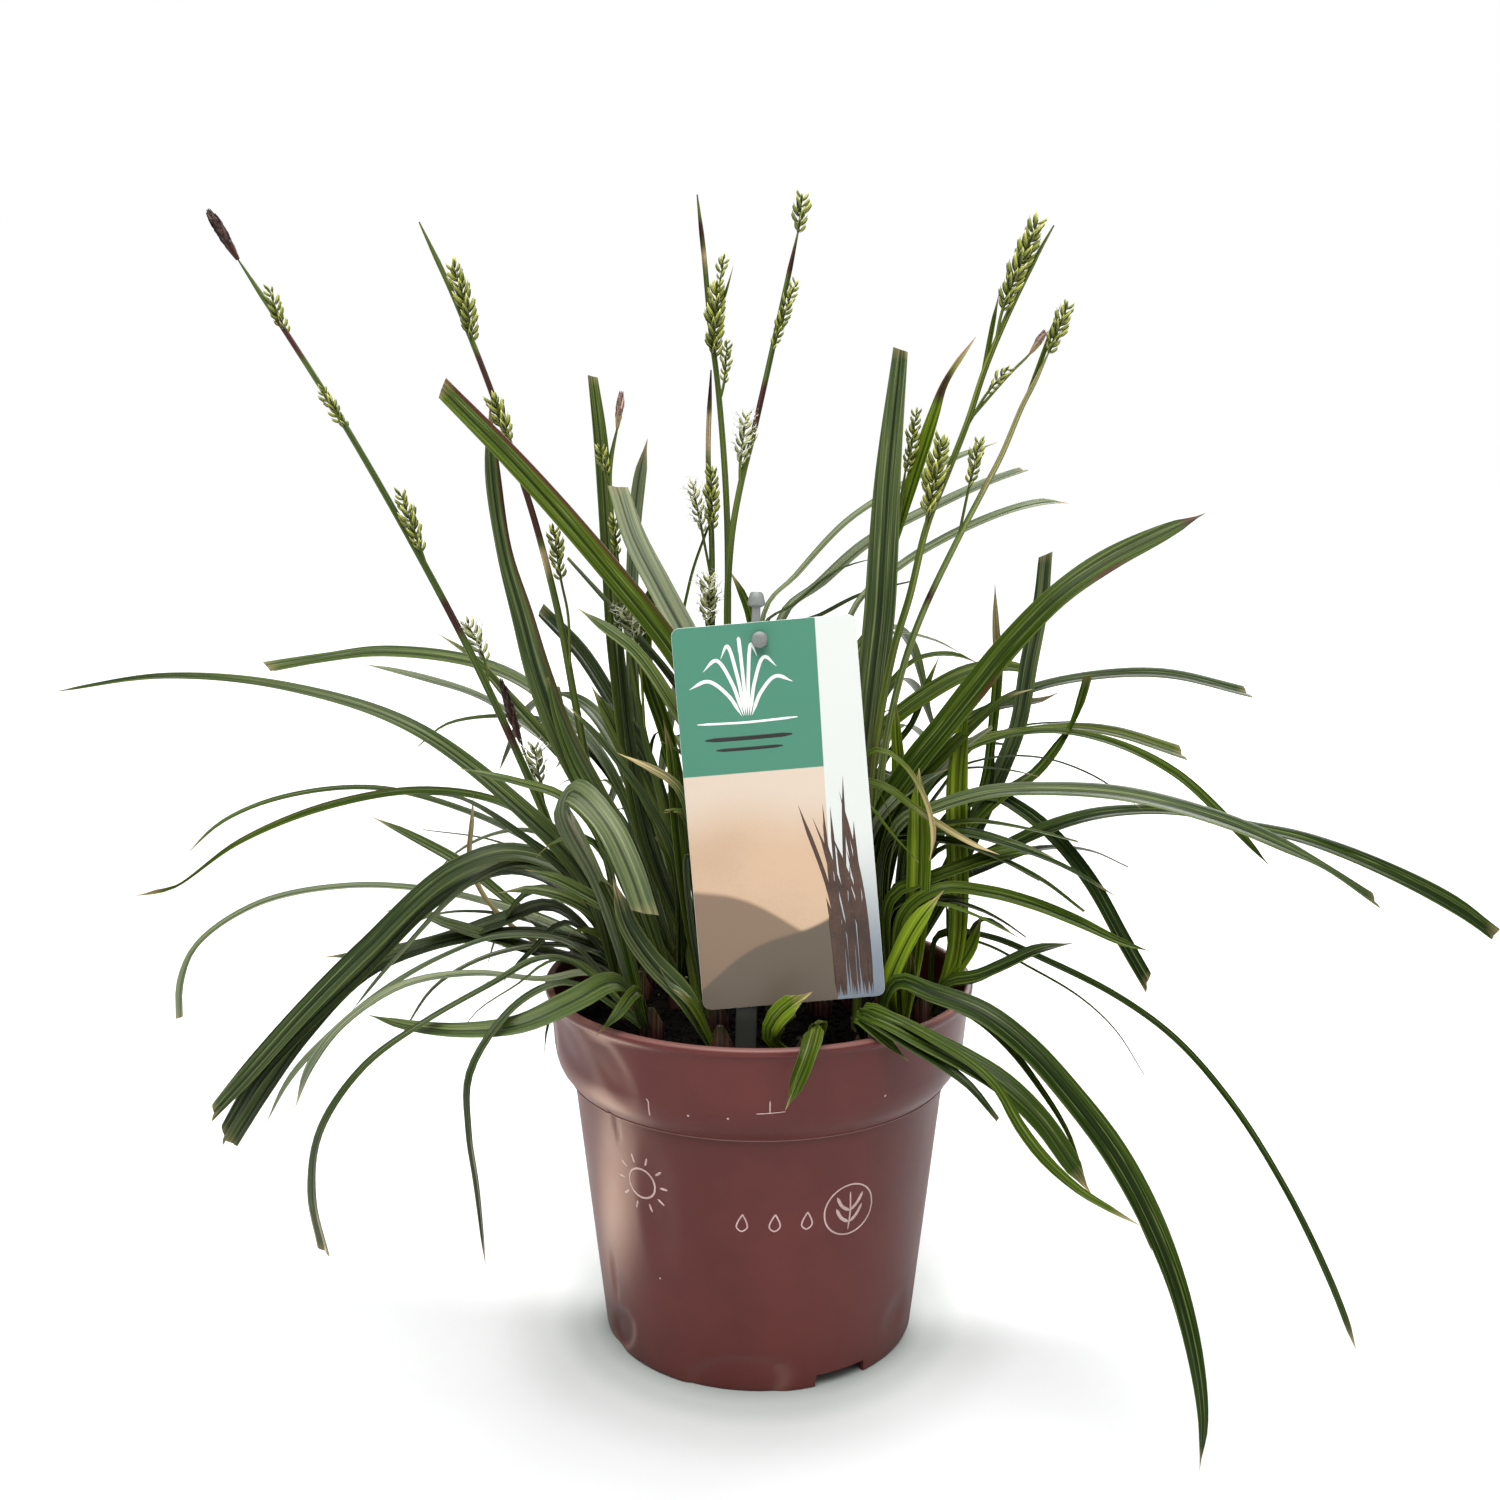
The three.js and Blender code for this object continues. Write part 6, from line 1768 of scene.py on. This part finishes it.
def card_piece():
    """The card as a stack of outlines from back to front, with slightly eased edges."""
    layers = [(EASED, 0.0), (0.0, EASED), (0.0, CARD_T - EASED), (EASED, CARD_T)]
    points, faces, flat, rings = [], [], [], []
    for inset, depth in layers:
        outline = rounded_outline(CARD_W / 2 - inset, CARD_H / 2 - inset, CARD_CORNER - inset)
        flat += [(u, v, 1.0 if depth == CARD_T else 0.0) for u, v in outline]
        rings.append([on_card(u, v, CARD_FRONT - CARD_T + depth) for u, v in outline])
    add_stack(points, faces, rings)
    piece = mesh_piece("label_card_board", points, faces, LABEL_PRINT, smooth=False)
    for i, key in enumerate(("card_u", "card_v", "card_front")):
        carry(piece.data, key, [row[i] for row in flat])
    return own(piece, "label_card", "label_card")


card = card_piece()
print("card:", triangles(card), "triangles")

# %% Ink on the card
INK_T = 0.05
INK_STEP = 0.6


def add_stroke(paths, spots, width, lay, ends=0.35):
    """A printed line through flat points. lay turns (u, v) into a point in the air and its normal."""
    run = smooth_line([(u, v, 0) for u, v in spots], INK_STEP)
    t = np.linspace(0, 1, len(run))
    half = 0.5 * width * np.clip(ends + 6 * np.minimum(t, 1 - t), 0, 1)
    at, normal = (np.array(side) for side in zip(*(lay(u, v) for u, v, _ in run)))
    paths.add(at, half=half, thick=2 * INK_T / width, up=normal, seed=0.3)


def lay_on_card(u, v):
    return on_card(u, v, CARD_FRONT), stake_out


tuft, bars = Paths(), Paths()
for i, (lean, tall) in enumerate(((-15, 11), (-11, 17), (-6, 21), (-1, 23), (4, 21), (9, 17), (13, 11))):
    base = (-7 + 0.5 * (i - 3), 30)
    spots = [base, (base[0] + 0.25 * lean, 30 + 0.6 * tall), (base[0] + 0.62 * lean, 30 + tall)]
    spots.append((base[0] + lean, 30 + 0.82 * tall))
    add_stroke(tuft, spots, 1.1, lay_on_card, ends=0.05)
add_stroke(tuft, [(-22, 28.4), (-7, 28.0), (8, 28.4)], 0.7, lay_on_card)
add_stroke(bars, [(-20, 23.5), (-7, 23.4), (6, 23.5)], 1.3, lay_on_card)
add_stroke(bars, [(-17, 20.3), (-7, 20.2), (3, 20.3)], 1.0, lay_on_card)
reeds = Paths()
print_rand = random.Random(21)
for i in range(30):
    u, reach = print_rand.uniform(13, 25), print_rand.uniform(22, 66)
    lean = print_rand.uniform(-9, 2) * reach / 50
    spots = [(u, -56.5), (u + 0.15 * lean, -56 + 0.5 * reach), (u + lean, -56 + reach)]
    add_stroke(reeds, spots, print_rand.uniform(0.7, 1.5), lay_on_card, ends=0.05)
own(swept_piece("label_ink_brown", reeds, 6, BROWN_INK), "label_card", "label_card")
own(swept_piece("label_ink_white", tuft, 8, WHITE_INK), "label_card", "label_card")
own(swept_piece("label_ink_dark", bars, 8, BLACK_INK), "label_card", "label_card")
print("ink:", len(tuft.edges) + len(bars.edges) + len(reeds.edges), "steps")

# %% Stake and rivet
def stake_section(half_w, half_t, v, rib=0.0):
    """A section of the stake: a flat strip with eased corners and a low rib behind."""
    spots = rounded_outline(half_w, half_t, min(half_w, half_t) * 0.45, 4)
    spots = [(u, w - (rib if w < 0 and abs(u) < 0.6 else 0)) for u, w in spots]
    return [on_stake(u, v, w) for u, w in reversed(spots)]


points, faces = [], []
halves = [(1.2, -STAKE_DEPTH), (STAKE_W / 2, -STAKE_DEPTH + 9), (STAKE_W / 2, 40), (STAKE_W / 2, 128)]
halves += [(STAKE_W / 2 - 0.3, 129.4), (2.1, 130.3), (1.35, 131.4), (1.3, 135.6)]
add_stack(points, faces, [stake_section(w, STAKE_T / 2, v) for w, v in halves])
rib = ((-0.35, -1.3), (0.35, -1.3), (0.5, -0.7), (-0.5, -0.7))
add_stack(points, faces, [[on_stake(u, v, w) for u, w in rib] for v in (-32, 118)])
knob = [(1.4, 135.4), (2.5, 136.0), (2.7, 136.6), (2.3, 138.4), (1.95, 139.6), (1.5, 140.0)]
KNOB_SIDES = 28
add_stack(points, faces, [[on_stake(x, v, -0.7 * y) for x, y in circle(r, KNOB_SIDES)] for r, v in knob])
stake_piece = mesh_piece("label_stake_strip", points, faces, STAKE_GREY)
stake_piece.data.set_sharp_from_angle(angle=math.radians(35))
own(stake_piece, "label_plastic", "label_stake")

points, faces = [], []
back = -STAKE_T / 2 - GAP
rivet = [(2.0, back - 1.0), (2.2, back - 0.8), (2.2, back), (RIVET_R, back + 0.02)]
rivet += [(r, CARD_FRONT + out) for r, out in (
    (RIVET_R, 0.2), (2.3, GAP), (2.5, GAP + 0.2), (2.5, 2.3), (2.3, 2.9), (1.8, 3.2), (1.0, 3.3),
)]
rivet_rings = [[on_stake(x, y, out) for x, y in circle(r, KNOB_SIDES, RIVET_AT)] for r, out in rivet]
add_stack(points, faces, rivet_rings)
rivet_piece = mesh_piece("label_rivet_turned", points, faces, STAKE_GREY)
rivet_piece.data.set_sharp_from_angle(angle=math.radians(35))
own(rivet_piece, "label_plastic", "label_rivet")
print("stake and rivet:", triangles(stake_piece) + triangles(rivet_piece), "triangles")

# %% [markdown]
# ## Printed marks on the pot
# The wall carries a pale print. Here it is a row of plain garden marks: a sprig in a ring, three drops
# and a sun. Each line is a path laid on the tapering wall, so the sweep makes it as thin ink that
# follows the curve of the pot. The ticks and pips that the mould left on the band are laid likewise.

# %% Marks laid on the wall
rows = pot_profile()
highest = max(range(len(rows)), key=lambda i: rows[i][1])
wall_rows = [row for row in rows[:highest] if row[0] >= POT_BASE_R]


def wall_radius(z):
    """The radius of the outer wall at a height."""
    return float(np.interp(z, [row[1] for row in wall_rows], [row[0] for row in wall_rows]))


def lay_on_wall(heading):
    """Turns (u, v), millimetres round and up from a heading, into a point on the wall."""
    def lay(u, v):
        r = wall_radius(v) + 0.05
        a = math.radians(heading) + u / r
        normal = Vector((math.cos(a), math.sin(a), wall_radius(v - 0.5) - wall_radius(v + 0.5)))
        return Vector(dented((r * math.cos(a), r * math.sin(a), v), a)), normal.normalized()

    return lay


DROP = ((0, 1), (0.38, 0.25), (0.45, -0.25), (0, -0.62), (-0.45, -0.25), (-0.38, 0.25), (0, 1))


def circle_outline(u, v, r, count):
    """A ring that ends where it starts."""
    outline = circle(r, count, (u, v))
    return outline + outline[:1]


marks = Paths()
lay = lay_on_wall(-62)
add_stroke(marks, circle_outline(0, 62, 8.5, 16), 0.55, lay, 1.0)
add_stroke(marks, [(0, 55), (0.4, 61), (0, 68)], 0.6, lay)
for tilt in (-1, 1):
    for up in (0, 4.0):
        add_stroke(marks, [(0.2, 57.5 + up), (2.6 * tilt, 59.5 + up), (4.6 * tilt, 63 + up)], 1.1, lay, 0.1)
for shift in (-34, -24, -14):
    add_stroke(marks, [(shift + 3.6 * u, 60 + 3.6 * v) for u, v in DROP], 0.5, lay, 1.0)
lay = lay_on_wall(-128)
add_stroke(marks, circle_outline(0, 68, 5.0, 14), 0.7, lay, 1.0)
for k in range(10):
    a = math.tau * k / 10
    ray = [(r * math.cos(a), 68 + r * math.sin(a)) for r in (7.0, 8.4, 9.8)]
    add_stroke(marks, ray, 0.8, lay, 0.5)
for heading, spots, width in (  # ticks and pips that the mould has left
    (-119.5, [(0, 95.2), (0.1, 98), (0.2, 100.2), (-0.5, 100.9)], 0.45),
    (-87.5, [(0, 100.1), (0, 102), (0, 104)], 0.4), (-87.5, [(-4, 99.9), (0, 100.1), (4.6, 100.5)], 0.3),
):
    add_stroke(marks, spots, width, lay_on_wall(heading), 0.6)
PIPS = ((-108.3, 97.6, 0.7), (-98, 97.9, 0.7), (-56.4, 100.8, 0.7), (-123.8, 35.9, 0.6))
for heading, height, width in PIPS:
    pip = [(-0.3, height), (0, height + 0.1), (0.3, height)]
    add_stroke(marks, pip, width, lay_on_wall(heading), 0.6)
own(swept_piece("pot_print", marks, 8, POT_INK), "pot_plastic", "pot")
print("marks on the pot:", len(marks.edges), "steps")

# %% [markdown]
# ## Floor and light
# A pale floor under soft studio light: one broad lamp from the upper left and front, a weaker one from
# the right, one overhead, one behind that lights the far side, and an even surround, which shows plain
# white behind the plant. The floor carries a painted soft shadow round the pot, and a painted glow
# lifts the shade behind it. The pot has its long soft highlight from a warm glowing patch of floor at
# its left, which shows only in reflections: a painted reflection.

# %% Floor
FLOOR_RINGS = (0.3, 1.0, 3.0, 12.0)  # metres
FLOOR_SIDES = 64
SHINE = 7.0  # of the warm glowing patch beside the pot that only reflections show: a painted reflection that gives the pot its highlight


def floor_material():
    """Pale paint with a painted soft shadow round and in front of the pot, an even glow further out, a
    painted glow behind the pot, and a warm glowing patch that only reflections see.
    """
    material, tree, shader = new_material("pale_floor")
    spot, soft = mottled(tree, 3.0, 200.0)
    paint = ramp(tree, soft, [(0.3, rgb(0.63, 0.64, 0.63)), (0.7, grey(0.65))])
    away = tree.length(spot)
    # painted shadow: the paint darkens towards the foot of the pot
    near = ramp(tree, tree.times(away, 10.0), [
        (0.50, rgb(0.50, 0.53, 0.50)), (0.60, rgb(0.70, 0.73, 0.70)), (0.72, rgb(0.88, 0.89, 0.88)),
        (0.95, grey(1)),
    ])
    paint = mixed(tree, 1.0, paint, near, "MULTIPLY")
    # painted shade: the paint is a little darker in front of the pot
    front = tree.length(tree.vector("MULTIPLY_ADD", spot, (0.7, 1.0, 1.0), (-0.02, 0.07, 0.0)))
    front = ramp(tree, step_up(tree, front, 0.03, 0.12), [(0.0, grey(0.93)), (1.0, grey(1))])
    paint = mixed(tree, 1.0, paint, front, "MULTIPLY")
    glow = ramp(tree, step_up(tree, away, 0.25, 1.3), [(0.0, grey(0)), (1.0, grey(0.75))])
    # painted light: the floor glows behind the pot, lifting the shade that the plant casts there
    across, deep, _ = tree.add("ShaderNodeSeparateXYZ", {0: spot}).outputs
    behind = tree.math("ADD", tree.math("MULTIPLY_ADD", across, 0.1, deep), 0.028)
    spread = tree.math("MULTIPLY_ADD", tree.math("ABSOLUTE", across), 0.3, 0.028)
    behind = step_up(tree, tree.math("DIVIDE", behind, spread), 0.0, 1.0)
    behind = ramp(tree, behind, [(0.0, grey(0)), (1.0, grey(0.42))])
    glow = mixed(tree, 1.0, glow, behind, "LIGHTEN")
    # painted reflection: a warm glowing patch left of the pot that only glossy rays see, giving the pot its
    # highlight
    patch = tree.length(tree.vector("MULTIPLY_ADD", spot, (9.0, 13.0, 0.0), (1.45, 0.1, 0.0)))
    warm = ramp(tree, step_up(tree, patch, 1.0, 0.1), [(0.0, grey(0)), (1.0, rgb(1.0, 0.76, 0.58))])
    mirrored = tree.add("ShaderNodeLightPath").outputs["Is Glossy Ray"]
    glow = mixed(tree, mirrored, glow, warm)
    strength = tree.math("MULTIPLY_ADD", mirrored, SHINE - 1.0, 1.0)
    tree.wire(shader, {
        "Base Color": paint, "Roughness": 0.85, "Emission Color": glow, "Emission Strength": strength,
    })
    return material


points, faces = [(0.0, 0.0, 0.0)], []
for k, r in enumerate(FLOOR_RINGS):
    points += [(x, y, 0.0) for x, y in circle(r, FLOOR_SIDES)]
    for j in range(FLOOR_SIDES):
        a, b = 1 + k * FLOOR_SIDES + j, 1 + k * FLOOR_SIDES + (j + 1) % FLOOR_SIDES
        faces.append((0, a, b) if k == 0 else (a - FLOOR_SIDES, a, b, b - FLOOR_SIDES))
floor_mesh = bpy.data.meshes.new("floor")
floor_mesh.from_pydata(points, [], faces)
floor_mesh.materials.append(floor_material())
floor = link_object(bpy.data.objects.new("floor", floor_mesh))
print("floor:", 2 * FLOOR_RINGS[-1], "metres wide")

# %% Lamps and surround
def lamp(name, place_at, aim, wide, tall, power):
    """A soft lamp that looks at a point."""
    data = bpy.data.lights.new(name, "AREA")
    data.shape = "RECTANGLE"
    data.size, data.size_y = wide, tall
    data.energy = power
    made = link_object(bpy.data.objects.new(name, data))
    made.location = place_at
    made.rotation_euler = (Vector(aim) - Vector(place_at)).to_track_quat("-Z", "Y").to_euler()
    return made


PLANT_MIDDLE = (0.0, 0.0, 0.18)
lamp("key", (-0.1, -1.0, 1.8), PLANT_MIDDLE, 1.5, 1.1, 46.0)
lamp("fill", (1.5, -0.9, 0.8), PLANT_MIDDLE, 1.2, 1.2, 3.0)
lamp("overhead", (-0.1, 0.2, 1.9), PLANT_MIDDLE, 1.4, 1.4, 18.0)
lamp("behind", (0.7, 1.4, 1.1), PLANT_MIDDLE, 1.2, 1.0, 17.0)

world = bpy.data.worlds.new("surround")
bpy.context.scene.world = world
world.use_nodes = True
world.node_tree.nodes.clear()
tree = Tree(world.node_tree)
aim = tree.add("ShaderNodeSeparateXYZ", {0: tree.add("ShaderNodeTexCoord").outputs["Generated"]})
sky = ramp(tree, aim.outputs[2], [(0.0, rgb(0.16, 0.17, 0.17)), (0.85, rgb(0.95, 0.98, 1.0))])
path = tree.add("ShaderNodeLightPath").outputs
strength = tree.math("MULTIPLY_ADD", path["Is Glossy Ray"], -0.4, 0.65)
lighting = tree.add("ShaderNodeBackground", {0: sky, 1: strength})
seen = tree.add("ShaderNodeBackground", {0: grey(1), 1: 1.0})
both = tree.add("ShaderNodeMixShader", {0: path["Is Camera Ray"], 1: lighting.outputs[0], 2: seen.outputs[0]})
tree.add("ShaderNodeOutputWorld", {0: both.outputs[0]})
bpy.context.scene.view_settings.view_transform = "Standard"
